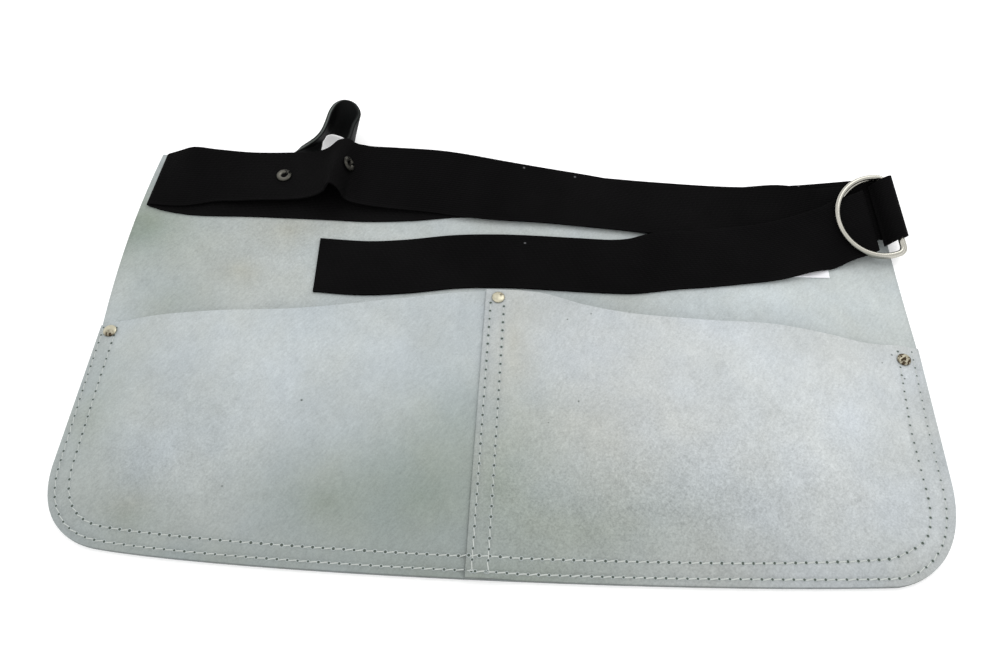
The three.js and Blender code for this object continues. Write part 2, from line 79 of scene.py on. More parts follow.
# Mouth of each pocket front: x, y, how far it stands off the panel
MOUTH_LEFT = [
    (-263.3, 159.6, 0), (-257.8, 161.8, 0), (-248, 164.2, 0.3), (-226, 166.8, 4.7), (-190, 170, 8.5),
    (-126, 175.5, 10), (-59, 188.6, 7), (-16, 200.5, 0.8), (0, 202.4, 0), (13, 202.5, 0),
]
MOUTH_RIGHT = [
    (0, 203, 0), (14, 203.2, 0), (28, 203.2, 1.2), (41, 200.8, 3.2), (52, 196.4, 5), (64, 191.4, 6.7),
    (78, 187, 8.3), (92, 183.9, 9.5), (145, 179.4, 12), (199, 177.8, 12), (233, 174.2, 8),
    (256, 172.4, 3), (270, 172.6, 0.5), (283, 172.8, 0), (294.8, 170.8, 0),
]
# The right front laps over the left one: width of the lap, then the run in which it comes down
LAP_WIDTH, LAP_RUNOUT = 14, 20
# Power by which a front's stand-off grows from its hem up to its mouth
FULLNESS = 1.3
# Loose leather near the mouths ripples: height of the ripple, and the stand-off at which it is full
RIPPLE_HEIGHT, RIPPLE_FULL = 0.7, 10
# Height of the slow waves in the back panel
PANEL_WAVE = 0.09

# Spans across and up a leather sheet, each with the share of it that lies outside one more row of points
# beside each end, which keeps the cut edge crisp
PANEL_SPANS = ((170, 0.0012), (100, 0.002))
FRONT_SPANS = ((130, 0.0022), (90, 0.003))
# Longest span along a strip, spans across it, and rounding of its edges
BELT_SPANS = (2.2, 14, 0.25)
LOOP_SPANS = (1.4, 10, 0.5)
# The like share for the edges of a strip
STRIP_RIM = 0.012
# Spans along the runs of the outline: the hem, a flank under the stitches, the waist, then any other run
HEM_SPANS, FLANK_SPANS, WAIST_SPANS, RUN_SPANS = 90, 20, 60, 40
# Spans along the edges of a front: its part of the hem, its mouth, the seam, the side
FRONT_HEM_SPANS, MOUTH_SPANS, SEAM_SPANS, SIDE_SPANS = 400, 160, 60, 40

# A sheet's cut edge, from its upper to its lower face: depth as a share of the thickness, how much it shows
CUT_EDGE = ((0.12, 0.2), (0.5, 1), (0.88, 0.2))
# Distance from a cut edge or a row of stitches at which neither shows on the leather any more
FAR = 60.0
# Above this height only the panel shows, and the dark margin along its cut edge is narrower by this factor
BARE_PANEL, MARGIN_NARROWED = 150, 4

# Where the belt passes the rings: place, then turn about up, lift of the upper edge, rise to the right
RING_SEAT = {"x": 257.7, "y": 280.2, "z": 10.6, "yaw": 12, "tilt": 17, "pitch": 9}
RING_RADIUS, RING_DEPTH, RING_CORNER = 30.5, 41.2, 5
RINGS = {
    "ring_upper": {"bar": 33.9, "bar_above": 7.4, "arc_above": 13.2, "slide": -8.6},
    "ring_lower": {"bar": 36.8, "bar_above": 3.3, "arc_above": 6, "slide": -8.2},
}

# Middle line of the belt in five runs. At the rings: along, across, above the seat.
BELT_ANCHOR = [
    (24, -6.2, 1.95), (25.9, -6, 3.6), (27.5, -5.8, 6.6), (29.9, -5.5, 9.6), (33, -4.8, 10.9),
    (36.4, -3.8, 10.2), (39.2, -2.8, 7.4), (40.4, -2.2, 4), (39.8, -2, 1.4), (37.2, -2, 0.1),
    (33.4, -1.8, 0), (20, 0.4, 0), (0, 2.6, 0),
]
# Elsewhere: x, y, z, lift of the upper edge, turn about up
BELT_BASE = [
    (218, 283.6, 6.2, 8, 3), (180, 285.4, 3.8, 1, -1), (120, 288.2, 3, 0, -2), (40, 293, 2.9, 0, -2),
    (-24, 293.6, 2.9, 0, 4), (-62, 288.2, 2.9, 0, 5), (-95, 285.6, 2.9, 0, 2), (-122, 285.8, 2.9, 0, 0),
    (-179, 285.8, 2.9, 0, 2), (-225, 285, 2.9, 0, -2), (-246, 288, 2.9, 0, -5),
    (-254.4, 290.5, 2.95, 0, -5), (-258.2, 291.5, 3.6, 1, -5), (-259.4, 292, 5.2, 3, -5),
    (-257.7, 292, 6.9, 5, -5),
]
BELT_UPPER = [
    (-252.6, 291.8, 8, 8, -4), (-244.4, 291, 10, 13, -2), (-230, 291, 12.8, 19, 2),
    (-214, 295.5, 9.7, 8, 8), (-192, 296.2, 9.1, 2, 4), (-176, 297, 9.3, 0, 3),
    (-161, 297.8, 9.5, 0, 2), (-148, 298.6, 10, -1, 2), (-139, 298.8, 12, -2, 2),
    (-131, 298.6, 15.8, -3, 2), (-125.6, 298.8, 20.2, -3, 1), (-122, 299, 24.6, -2, -2),
    (-117.5, 298.9, 27.9, -4, -5), (-113.4, 298.6, 26, 0, -4), (-110.6, 298.3, 21.5, 4, -5),
    (-108, 298, 17.6, 12, -8), (-103.4, 297.2, 16.4, 16, -8), (-96, 295.4, 16.6, 18, -5),
    (-78, 293.8, 16.7, 23, -2), (-45, 292.4, 16.2, 28, -2), (-24, 290, 16, 28, -2),
    (5, 289.2, 12.8, 19, -2), (35, 289.6, 9.2, 10, -2), (65, 288.2, 7, 5, -3), (96, 286, 5.2, 0.5, -4),
    (126, 283.8, 4.9, 0, -2), (180, 282.8, 5.8, 1, 0), (216, 282.6, 8.3, 9, 4),
]
BELT_THROUGH = [
    (-14, -0.6, 2), (0, -2, 1.95), (11, -4.6, 1.95), (16, -7.6, 2.2), (18, -9.2, 5.1), (15, -10.8, 7.7),
    (8, -12.4, 8.1), (0.5, -13.7, 8.9), (-5, -14.8, 9), (-16, -17.6, 7.6),
]
BELT_TAIL = [
    (225, 252.8, 8.6, 5, 19), (203, 246.4, 7, 6, 14), (174, 241.6, 5.8, 6, 10), (150, 237.8, 5.6, 6, 7),
    (132, 235.4, 5.9, 7, 6), (118, 232.8, 5.8, 7, 6), (104, 230.4, 4, 2, 5), (90, 229.8, 3.1, 0, 2),
    (66, 230, 3.1, 0, 0), (30, 230.6, 3.1, 0, 0), (8, 230.4, 3.1, 0, 1), (-23, 228.2, 3.1, 0, 6),
    (-60, 221.9, 3, 0, 7), (-89, 219, 3, 0, 2), (-124, 219.9, 3, 0, 3),
]

# The hammer loop's band: its upper edge and its lower edge, row by row from the end under the belt
LOOP = [
    ((-175.8, 289.9, 6.5), (-154.2, 282.1, 6.5)), ((-171.8, 300.9, 6.5), (-150.2, 293.1, 6.5)),
    ((-166.6, 312, 6.5), (-144.8, 306, 6.5)), ((-160.6, 322.6, 6.9), (-139.8, 321, 6.2)),
    ((-152.8, 327.4, 10), (-139.5, 335, 4.7)), ((-145.2, 329.1, 14.7), (-140.5, 341.5, 3.2)),
    ((-139.8, 330.5, 18.6), (-140.5, 346.5, 2.4)), ((-135.4, 334.5, 22.2), (-139.8, 350.4, 2)),
    ((-132.8, 342, 25), (-137.9, 352, 2)), ((-130.9, 351, 27.2), (-134.8, 352.6, 2)),
    ((-127.6, 358, 28.4), (-131.5, 351.4, 2.3)), ((-121.8, 361.5, 29), (-126.5, 349, 2.8)),
    ((-113.6, 358.8, 28.6), (-121.5, 345.2, 4)), ((-108.4, 349, 27.4), (-116.2, 341.2, 5.5)),
    ((-111.2, 338, 26.3), (-114.2, 332.4, 6.5)), ((-112.8, 328, 24.6), (-112.4, 324.6, 5.6)),
    ((-115.2, 319, 23.8), (-109.2, 317, 4.9)), ((-117.6, 308, 24.7), (-106.5, 307, 5)),
    ((-118, 299, 24.9), (-106.5, 299, 5)), ((-118, 290, 24.9), (-106.5, 290, 5)),
]

# Pocket rivets: x, y, layers of pocket leather under the head
POCKET_RIVETS = {
    "rivet_left": (-255.6, 155.3, 1), "rivet_centre": (8.7, 196, 2), "rivet_right": (283.2, 161.4, 1),
}
# Loop rivets: x, y, z of the band's middle, lean of the axis to the right, webbing above the middle
LOOP_RIVETS = {
    "loop_rivet_left": (-161, 297, 6.5, 0, 3), "loop_rivet_right": (-115.4, 299.5, 20.4, 60, 5.6),
}
LABEL_BOX = {"left": 206, "right": 244.5, "foot": 228, "top": 255, "low": 2.1, "thick": 0.9}
# The tag's curl: height, length along x and y; then points across and up, and rounding of its edge
TAG_CURL, TAG_POINTS, TAG_ROUNDING = (0.06, 6, 5), (40, 30), 0.2

# How much farther from the cut edge the outer and the inner row run up each side: y, outer, inner
ROWS_LEFT = [(56, 0, 0), (110, -1.6, -1.2), (165, -2.2, -1.6)]
ROWS_RIGHT = [
    (0, -0.8, 0), (4, 0, 0.6), (7, 0, 1.9), (9, 0, 3.3), (16, 0, 3.6), (26, 0.3, 1.6), (34, 0.4, 0.9),
    (72, 2.2, 4.4), (110, 2.4, 5.2), (172, 0.8, 1.6),
]

# Specks of lint on the belt: x, y
LINT = [(22.1, 309.5), (61.3, 308.2), (25.5, 247), (229.8, 305.5)]

# Centre seam's rows of stitches: x, top
SEAM_ROWS = [(3.6, 191.5), (13, 189)]
# Rows along the edges end below these heights: outer, inner
ROW_TOPS_LEFT = (160, 161.5)
ROW_TOPS_RIGHT = (169.5, 170.5)
# Points along the outline that the rows follow; every sixth is enough to measure distances from a row
ROW_POINTS, ROW_THINNED = 900, 6
# Size of the needle holes in the outer row, the inner row and the seam's rows
HOLE_SIZES = (0.84, 1.0, 0.95)

# Camera: place over the seam's foot, degrees down, turn about up in radians, focal length in mm
CAMERA = {"place": (27.72, -135.02, 489.19), "down": 58.0, "turn": 0.0538426, "lens": 30.087}
# Width of its frame in mm, nearest and farthest distance that it sees in metres
SENSOR_WIDTH, NEAREST, FARTHEST = 36, 0.02, 60

# Lights, in metres of the apron's frame: place, size across, power, point that it faces
LIGHTS = {
    "window_light": ((0.55, 0.7, 1.2), 1.0, 5, (0.08, 0.0, 0)),
    "fill_light": ((-0.9, -0.3, 1.3), 1.2, 1.2, (-0.05, 0, 0)),
}
SKY_STRENGTH = 1.08
# Half the floor's side and how far it lies below the apron, in metres, and its own glow
FLOOR_HALF, FLOOR_DROP, FLOOR_GLOW = 8, 0.0004, 0.16


def tone(red, green, blue):
    """A colour as the eye reads it, from 0 to 255, turned into the linear values that finishes take."""
    def straight(part):
        part /= 255
        return part / 12.92 if part <= 0.04045 else ((part + 0.055) / 1.055) ** 2.4
    return straight(red), straight(green), straight(blue)


def length_of(name, description, millimetres):
    return FloatProperty(
        name=name, description=description, default=millimetres * MM, min=0, subtype="DISTANCE",
        unit="LENGTH", precision=4)


def colour_of(name, description, red, green, blue):
    return FloatVectorProperty(
        name=name, description=description, default=tone(red, green, blue), min=0, max=1, size=3,
        subtype="COLOR")


class ApronSizes(bpy.types.PropertyGroup):
    """Sizes that a maker would change."""
    panel_thick: length_of("Panel leather", "Thickness of the back panel", 1.8)
    front_thick: length_of("Pocket leather", "Thickness of the two pocket fronts", 1.7)
    web_width: length_of("Belt width", "Width of the webbing", 47.5)
    web_thick: length_of("Belt thickness", "Thickness of the webbing", 1.6)
    band_thick: length_of("Loop leather", "Thickness of the hammer loop's band", 3)
    wire_radius: length_of("Ring wire", "Radius of the rings' wire", 1.8)
    stitch_pitch: length_of("Stitch pitch", "Distance from needle hole to needle hole on the edges", 6.15)
    seam_pitch: length_of("Seam pitch", "Distance from needle hole to needle hole on the centre seam", 6.65)
    thread_radius: length_of("Thread", "Radius of the sewing thread", 0.34)
    hole_radius: length_of("Needle hole", "Radius of a needle hole", 0.98)
    outer_row: length_of("Outer row", "Distance of the outer row of stitches from the cut edge", 4.2)
    inner_row: length_of("Inner row", "Distance of the inner row of stitches from the cut edge", 12.6)
    rivet_radius: length_of("Rivet head", "Radius of the domed rivets' heads", 4.6)
    rivet_dome: length_of("Rivet dome", "Height of the domed rivets' heads", 1.8)
    tube_radius: length_of("Loop rivet head", "Radius of the tubular rivets' rolled heads", 5.8)


class ApronColours(bpy.types.PropertyGroup):
    """Colours that a maker would change."""
    suede_pale: colour_of("Pale suede", "The leather where its nap is brushed up", 185, 192, 193)
    suede_bright: colour_of("Bright suede", "The leather where the light strikes it most", 205, 213, 215)
    suede_grey: colour_of("Grey suede", "The leather where its nap lies flat", 172, 179, 179)
    # Partly the tanning's green cast and partly painted shade, as under the belt's left fold and low on the
    # pockets
    suede_green_and_shade: colour_of("Green cast", "The leather where the tanning shows through", 141, 152, 143)
    suede_brown: colour_of("Brown stain", "Faint stains on the leather", 166, 164, 147)
    webbing: colour_of("Webbing", "The belt's yarn", 13, 12.5, 13)
    loop_face: colour_of("Loop face", "The dyed face of the hammer loop", 9, 10, 10)
    loop_edge: colour_of("Loop edge", "The undyed cut edge of the hammer loop", 88, 93, 90)
    thread: colour_of("Thread", "The sewing thread", 190, 195, 191)
    needle_hole: colour_of("Needle hole", "The shade inside a needle hole", 78, 86, 80)
    nickel: colour_of("Ring nickel", "The plating of the rings", 176, 174, 165)
    rivet_metal: colour_of("Rivet metal", "The dull plating of the pocket rivets", 196, 191, 170)
    tube_metal: colour_of("Loop rivet metal", "The darkened plating of the loop's rivets", 106, 104, 97)
    # Dirt and rust on the rivets, and the painted dark reflection low on the left pocket rivet's dome
    grime_and_reflection: colour_of("Grime", "Dirt and rust on the rivets", 84, 72, 56)
    tag: colour_of("Tag", "The cloth of the bare tag", 240, 240, 244)
    floor: colour_of("Floor", "The surface that the apron lies on", 254, 254, 254)


class Tap:
    """One output of a node. Sums on it add Math nodes."""

    def __init__(self, bench, socket):
        self.bench, self.socket = bench, socket

    def work(self, operation, *values, clamp=False):
        kind = "ShaderNodeMath"
        return self.bench.node(kind, {"operation": operation, "use_clamp": clamp}, dict(enumerate(values)))

    def __add__(self, other):
        return self.work("ADD", self, other)

    def __sub__(self, other):
        return self.work("SUBTRACT", self, other)

    def __rsub__(self, other):
        return self.work("SUBTRACT", other, self)

    def __mul__(self, other):
        return self.work("MULTIPLY", self, other)

    def __truediv__(self, other):
        return self.work("DIVIDE", self, other)

    def __rtruediv__(self, other):
        return self.work("DIVIDE", other, self)

    __radd__, __rmul__ = __add__, __mul__

    def clamped(self):
        return self.work("ADD", self, 0.0, clamp=True)

    def alone(self, operation):
        return self.work(operation, self)


class Bench:
    """A node tree under construction."""

    def __init__(self, tree):
        self.tree = tree
        tree.nodes.clear()

    def node(self, kind, settings=None, sockets=None, out=0):
        """Adds one node, its settings first, then its sockets' values or links, and gives one output."""
        node = self.tree.nodes.new(kind)
        for name, value in (settings or {}).items():
            setattr(node, name, value)
        for name, value in (sockets or {}).items():
            if isinstance(value, Tap):
                self.tree.links.new(value.socket, node.inputs[name])
            else:
                node.inputs[name].default_value = value
        return Tap(self, node.outputs[out]) if node.outputs else node


class Finish(Bench):
    """A material under construction."""

    def __init__(self, name):
        self.material = bpy.data.materials.new(name)
        self.material.use_nodes = True
        super().__init__(self.material.node_tree)
        self.place = self.node("ShaderNodeTexCoord", out="Object")

    def paint(self, name):
        """One of the colours that a maker would change."""
        return (*getattr(bpy.context.scene.apron_colours, name), 1.0)

    def noise(self, scale, detail, roughness, at=None, distortion=0.0):
        return self.node("ShaderNodeTexNoise", {"noise_dimensions": "3D"}, {
            "Vector": at or self.place, "Scale": scale, "Detail": detail, "Roughness": roughness,
            "Distortion": distortion})

    def brushed(self, turn, stretch):
        """Places drawn out along one direction of the plan, for marks left by brushing."""
        swung = self.node("ShaderNodeMapping", {"vector_type": "POINT"}, {
            "Vector": self.place, "Rotation": (0, 0, turn)})
        return self.node("ShaderNodeMapping", {"vector_type": "POINT"}, {
            "Vector": swung, "Scale": (1, 1 / stretch, 1)})

    def coordinate(self, index):
        return self.node("ShaderNodeSeparateXYZ", {}, {0: self.place}, out=index)

    def mix(self, share, first, second):
        return self.node("ShaderNodeMix", {"data_type": "RGBA"}, {0: share, 6: first, 7: second}, out=2)

    def scaled(self, colour, value):
        """A colour made lighter or darker by a value."""
        start = colour if isinstance(colour, Tap) else colour[:3]
        return self.node("ShaderNodeVectorMath", {"operation": "SCALE"}, {0: start, "Scale": value})

    def attribute(self, name):
        return self.node("ShaderNodeAttribute", {"attribute_name": name}, out="Fac")

    def spot(self, x, y, reach_x, reach_y):
        """Soft round mask on the plan, the same at any height: 1 at its middle, 0 at its edge."""
        any_height = 1000.0
        away = self.node("ShaderNodeMapping", {"vector_type": "TEXTURE"}, {
            "Vector": self.place, "Location": tuple(in_frame((x, y, 0))),
            "Scale": (reach_x * MM, reach_y * MM, any_height)})
        kind = {"gradient_type": "QUADRATIC_SPHERE"}
        return self.node("ShaderNodeTexGradient", kind, {"Vector": away}, out=1)

    def window(self, value, low, high):
        """0 below low, 1 above high, smooth between."""
        return self.node("ShaderNodeMapRange", {"interpolation_type": "SMOOTHSTEP"}, {
            "Value": value, "From Min": low, "From Max": high})

    def bump(self, height, distance, strength):
        sockets = {"Height": height, "Distance": distance, "Strength": strength}
        return self.node("ShaderNodeBump", {}, sockets)

    def surface(self, sockets):
        shader = self.node("ShaderNodeBsdfPrincipled", {}, sockets)
        self.node("ShaderNodeOutputMaterial", {}, {"Surface": shader})
        return self.material


# Stains on the leather, with patches of painted light and shade among them: x, y, reach along x, reach
# along y, tint, strength
# The bright patches are painted light; some green patches are painted shade, as under the belt's left fold
# and low on the pockets; the pin pricks are painted in the shade of a needle hole
PANEL_STAINS_AND_PAINTED_LIGHT = [
    (-179, 213, 80, 40, "suede_brown", 0.55), (-222, 184, 70, 60, "suede_green_and_shade", 0.45),
    (-150, 251, 75, 38, "suede_brown", 0.5), (-90, 225, 130, 70, "suede_grey", 0.15),
    (269, 202, 150, 100, "suede_bright", 0.5), (221, 208, 70, 40, "suede_brown", 0.06),
    (-264, 250, 95, 75, "suede_green_and_shade", 1.2), (198, 212, 130, 75, "suede_bright", 0.9),
    (-60, 214, 150, 75, "suede_bright", 0.5),
]
LEFT_STAINS_AND_PAINTED_LIGHT = [
    (-31, 48, 125, 95, "suede_green_and_shade", 0.95), (-12, 100, 70, 90, "suede_green_and_shade", 0.45),
    (-94, 148, 160, 80, "suede_bright", 0.52), (-150, 80, 90, 70, "suede_pale", 0.4),
    (-205, 26, 70, 45, "suede_green_and_shade", 0.6), (-205, 34, 34, 22, "suede_brown", 0.35),
    (-87, 40, 120, 65, "suede_green_and_shade", 0.75), (-250, 90, 60, 130, "suede_green_and_shade", 0.5),
    (-14, 62, 80, 120, "suede_green_and_shade", 0.45), (-150, 2, 200, 34, "suede_green_and_shade", 0.5),
    (-20, 0, 80, 30, "suede_green_and_shade", 0.6),
    (-112.9, 106, 1.6, 1.3, "needle_hole", 1.6), (-152, 47, 1.2, 1.2, "needle_hole", 1.0),
]
RIGHT_STAINS_AND_PAINTED_LIGHT = [
    (68, 32, 165, 85, "suede_green_and_shade", 0.75), (79, 92, 120, 70, "suede_brown", 0.25),
    (16, 62, 85, 165, "suede_green_and_shade", 0.85), (180, 150, 90, 115, "suede_bright", 0.5),
    (255, 40, 140, 85, "suede_bright", 0.4), (30, 0, 120, 32, "suede_green_and_shade", 0.8),
    (243, 112, 130, 105, "suede_bright", 0.48), (79, 160, 150, 60, "suede_pale", 0.5),
    (21, 160, 30, 110, "suede_brown", 0.3), (244, 30, 90, 50, "suede_green_and_shade", 0.12),
    (57, 178, 1.1, 1.1, "needle_hole", 1.2), (65, 116, 1.2, 1.2, "needle_hole", 1.3),
    (46, 101, 1.0, 1.0, "needle_hole", 1.0), (73, 182, 1.1, 1.1, "needle_hole", 1.1),
    (276, 165, 1.2, 1.2, "needle_hole", 1.4), (268, 158, 1.0, 1.0, "needle_hole", 1.2),
    (281, 147, 1.3, 1.1, "needle_hole", 1.4),
]


# Leather of each sheet: stains and painted light, how open its grain is, cast of its dye and painted light,
# roughest patch as x, y and reaches
# The right front's cast is lighter as painted light, since the light falls stronger on the right
SUEDES = {
    "back_panel": (PANEL_STAINS_AND_PAINTED_LIGHT, 0.5, (0.84, 0.835, 0.835), (-150, 240, 180, 90)),
    "left_front": (LEFT_STAINS_AND_PAINTED_LIGHT, 0.5, (0.855, 0.85, 0.865), (-190, 60, 120, 110)),
    "right_front": (RIGHT_STAINS_AND_PAINTED_LIGHT, 0.8, (0.935, 0.91, 0.925), (120, 50, 330, 130)),
}
# Noise in the leather: scale, detail, roughness, distortion, turn and stretch of the brushing
SUEDE_LAYERS = {
    "cloud": (13, 3, 0.55, 0, 0, 1),
    "hue": (21, 3, 0.5, 0, 1.9, 1),
    "mottle": (500, 4, 0.66, 0.4, 0, 1),
    "nap": (820, 3, 0.6, 0, 0, 1),
    "strokes": (620, 3, 0.6, 0, 0.6, 3.4),
    "fibre": (1900, 2, 0.6, 0, 0, 1),
    "blotch": (95, 4, 0.62, 0, -0.5, 1.8),
}
# Share of each layer in the shade of open grain, in the shade everywhere, and in the relief
OPEN_GRAIN = {"mottle": 0.72, "nap": 0.4, "blotch": 0.24}
FINE_GRAIN = {"blotch": 0.15, "nap": 0.3, "strokes": 0.32, "fibre": 0.2}
NAP_RELIEF = {"nap": 0.7, "fibre": 0.35, "strokes": 0.4}
MOTTLE_RELIEF, DIP_RELIEF = 0.8, 1.1
# Values of the noise between which the clouds and the dye go from one colour to the other
CLOUD_EDGES, HUE_EDGES = (0.26, 0.74), (0.25, 0.75)
# Drift of the dye to warm and to cool: red, green, blue
WARM_DRIFT, COOL_DRIFT = (1.025, 1.01, 0.97), (0.99, 1.0, 1.012)
# A stain that reaches no farther than this is a pin prick, with a clean edge
PIN_PRICK = 5
# Where the leather darkens: painted shade up from the hem in metres, a dark margin in from the cut edge and
# painted shade beside a row in millimetres
HEM_REACH, EDGE_REACH, ROW_REACH = 0.1, (0.0, 15.0), (0.3, 2.6)
# The cut edge is painted dark with shade along the hem, and this painted shade fades over these heights
# above it, in metres
CUT_FADE = (0.04, 0.07)
# How much the leather darkens: painted shade at the hem, the dark margin, painted shade in a row's dip and
# on the hem's cut edge
HEM_PAINTED_SHADE, EDGE_SHADE, ROW_PAINTED_SHADE, CUT_PAINTED_SHADE = 0.16, 0.07, 0.07, 0.88


def suede(sheet):
    """Split leather with a brushed nap: clouds, mottling, short fibres, stains, dips along the seams, and
    painted light and shade in patches, toward the hem, on the hem's cut edge and in the dips.
    """
    stains_and_painted_light, coarse, cast, rough_patch = SUEDES[sheet]
    finish = Finish(f"suede_{sheet}")
    layers = {}
    for title, (scale, detail, roughness, distortion, turn, stretch) in SUEDE_LAYERS.items():
        at = finish.brushed(turn, stretch) if turn else None
        layers[title] = finish.noise(scale, detail, roughness, at, distortion)

    def blended(shares):
        return sum(share * (layers[title] - 0.5) for title, share in shares.items())

    clouded = finish.window(layers["cloud"], *CLOUD_EDGES)
    base = finish.mix(clouded, finish.paint("suede_grey"), finish.paint("suede_pale"))
    ragged = 0.55 + 0.9 * layers["cloud"]
    for x, y, reach_x, reach_y, tint, strength in stains_and_painted_light:
        share = finish.spot(x, y, reach_x, reach_y) * strength
        if reach_x > PIN_PRICK:
            share = share * ragged
        base = finish.mix(share.clamped(), base, finish.paint(tint))
    # The cast is the dye's colour and painted light together
    warm, cool = ([*(np.array(cast) * drift).tolist(), 1.0] for drift in (WARM_DRIFT, COOL_DRIFT))
    dye = finish.mix(finish.window(layers["hue"], *HUE_EDGES), warm, cool)
    base = finish.node("ShaderNodeVectorMath", {"operation": "MULTIPLY"}, {0: base, 1: dye})

    open_grain = coarse * (0.4 + finish.spot(*rough_patch))
    shade = 1.0 + open_grain * blended(OPEN_GRAIN) + blended(FINE_GRAIN)
    over_hem = finish.coordinate(1) - HEM_Y
    # Painted shade, darker toward the hem
    hem = 1.0 - finish.window(over_hem, 0.0, HEM_REACH)
    edge = 1.0 - finish.window(finish.attribute("from_edge"), *EDGE_REACH)
    # Painted shade in the dip beside a row of stitches, which also sinks the relief
    dip = 1.0 - finish.window(finish.attribute("from_row"), *ROW_REACH)
    # Painted shade on the hem's cut edge, which faces away from the light
    cut = finish.attribute("cut_edge") * (1.0 - finish.window(over_hem, *CUT_FADE))
    for mask, depth in ((hem, HEM_PAINTED_SHADE), (edge, EDGE_SHADE), (dip, ROW_PAINTED_SHADE), (cut, CUT_PAINTED_SHADE)):
        shade = shade * (1.0 - depth * mask)
    height = blended(NAP_RELIEF) + MOTTLE_RELIEF * open_grain * layers["mottle"] - DIP_RELIEF * dip
    return finish.surface({
        "Base Color": finish.scaled(base, shade),
        "Roughness": 0.93 - 0.06 * layers["mottle"],
        "Specular IOR Level": 0.18,
        "Sheen Weight": 0.25,
        "Sheen Roughness": 0.6,
        "Sheen Tint": finish.paint("suede_pale"),
        "Normal": finish.bump(height, 0.00035, 0.7),
    })


# The webbing's weave, in metres: width of a cord, length of one bob, where the selvedge begins and ends
CORD_WIDTH, BOB_LENGTH, SELVEDGE = 0.0016, 0.0036, (0.0212, 0.0226)
# Each cord bobs this share of a bob after the one beside it
BOB_LAG = 0.25
# A speck of lint: its reaches in millimetres, how much of the cloth's white it shows
LINT_REACH, LINT_SHARE = (1.4, 1.2), 0.25


def webbing_finish():
    """Black woven tape: cords along the belt that bob over and under, and a firm selvedge."""
    finish = Finish("woven_webbing")
    run = finish.node("ShaderNodeUVMap", {"uv_map": "weave"})
    along, across = (finish.node("ShaderNodeSeparateXYZ", {}, {0: run}, out=axis) for axis in (0, 1))
    cord = across / CORD_WIDTH
    bob = along / BOB_LENGTH + cord.alone("FLOOR") * BOB_LAG
    hump = (cord.alone("FRACT") * math.pi).alone("SINE")
    float_over = 0.5 + 0.5 * (bob * (2 * math.pi)).alone("SINE")
    weave = hump * (0.55 + 0.45 * float_over)
    fuzz = finish.noise(900, 3, 0.6)
    wear = finish.noise(26, 4, 0.6)
    sweep = finish.noise(8, 2, 0.5)
    middle = bpy.context.scene.apron_sizes.web_width / 2
    selvedge = finish.window((across - middle).alone("ABSOLUTE"), *SELVEDGE)
    value = 0.62 + 0.5 * weave + 0.12 * selvedge
    value = value + 0.45 * (fuzz - 0.5) + 0.7 * (wear - 0.45) + 0.9 * (sweep - 0.5)
    base = finish.scaled(finish.paint("webbing"), value)
    for x, y in LINT:
        base = finish.mix(finish.spot(x, y, *LINT_REACH) * LINT_SHARE, base, finish.paint("tag"))
    return finish.surface({
        "Base Color": base,
        "Roughness": 0.78 + 0.16 * fuzz,
        "Specular IOR Level": 0.025,
        "Normal": finish.bump(weave + 0.35 * fuzz, 0.00035, 0.8),
    })


# The loop's cut edge shows its undyed grey on the left leg, which ends between these places along x,
# in metres
LEFT_LEG_END = (-0.146, -0.136)


def loop_finish():
    """Black dyed leather, satin on its face, grey where it was cut."""
    finish = Finish("black_leather")
    pore = finish.node("ShaderNodeTexVoronoi", {"feature": "DISTANCE_TO_EDGE"}, {
        "Vector": finish.place, "Scale": 900.0})
    rub = finish.noise(60, 4, 0.6)
    cut = finish.window(finish.attribute("cut_edge"), 0.3, 0.9)
    left_leg = 1.0 - finish.window(finish.coordinate(0), *LEFT_LEG_END)
    frayed = (cut * (0.7 + 0.6 * rub) * (0.15 + 0.85 * left_leg)).clamped()
    base = finish.mix(frayed, finish.paint("loop_face"), finish.paint("loop_edge"))
    return finish.surface({
        "Base Color": finish.scaled(base, 0.75 + 0.5 * rub),
        "Roughness": (0.5 + 0.2 * rub + 0.2 * frayed).clamped(),
        "Specular IOR Level": 0.1,
        "Normal": finish.bump(finish.window(pore, 0.0, 0.25) + 0.6 * rub, 0.00015, 0.5),
    })


def nickel_finish():
    """Bright plated wire with fine draw marks and a little tarnish."""
    finish = Finish("bright_nickel")
    tarnish = finish.noise(120, 4, 0.6)
    marks = finish.noise(2400, 2, 0.5)
    return finish.surface({
        "Base Color": finish.scaled(finish.paint("nickel"), 0.84 + 0.3 * tarnish),
        "Metallic": 1.0,
        "Roughness": 0.16 + 0.12 * tarnish + 0.05 * marks,
        "Normal": finish.bump(marks, 0.00002, 0.4),
    })


# Grime on the rivets, and on the left pocket rivet a painted dark reflection low on its dome: x, y, reach,
# strength
DOMED_GRIME_AND_REFLECTION = [(283.2, 161.4, 26, 1.1), (10.7, 198, 4, 0.8), (-254.9, 152.2, 5.2, 1.7)]
TUBULAR_GRIME = [(-157.4, 300, 7, 2.2), (-105, 305, 9, 1.6), (-109.6, 299.5, 18, 0.5)]


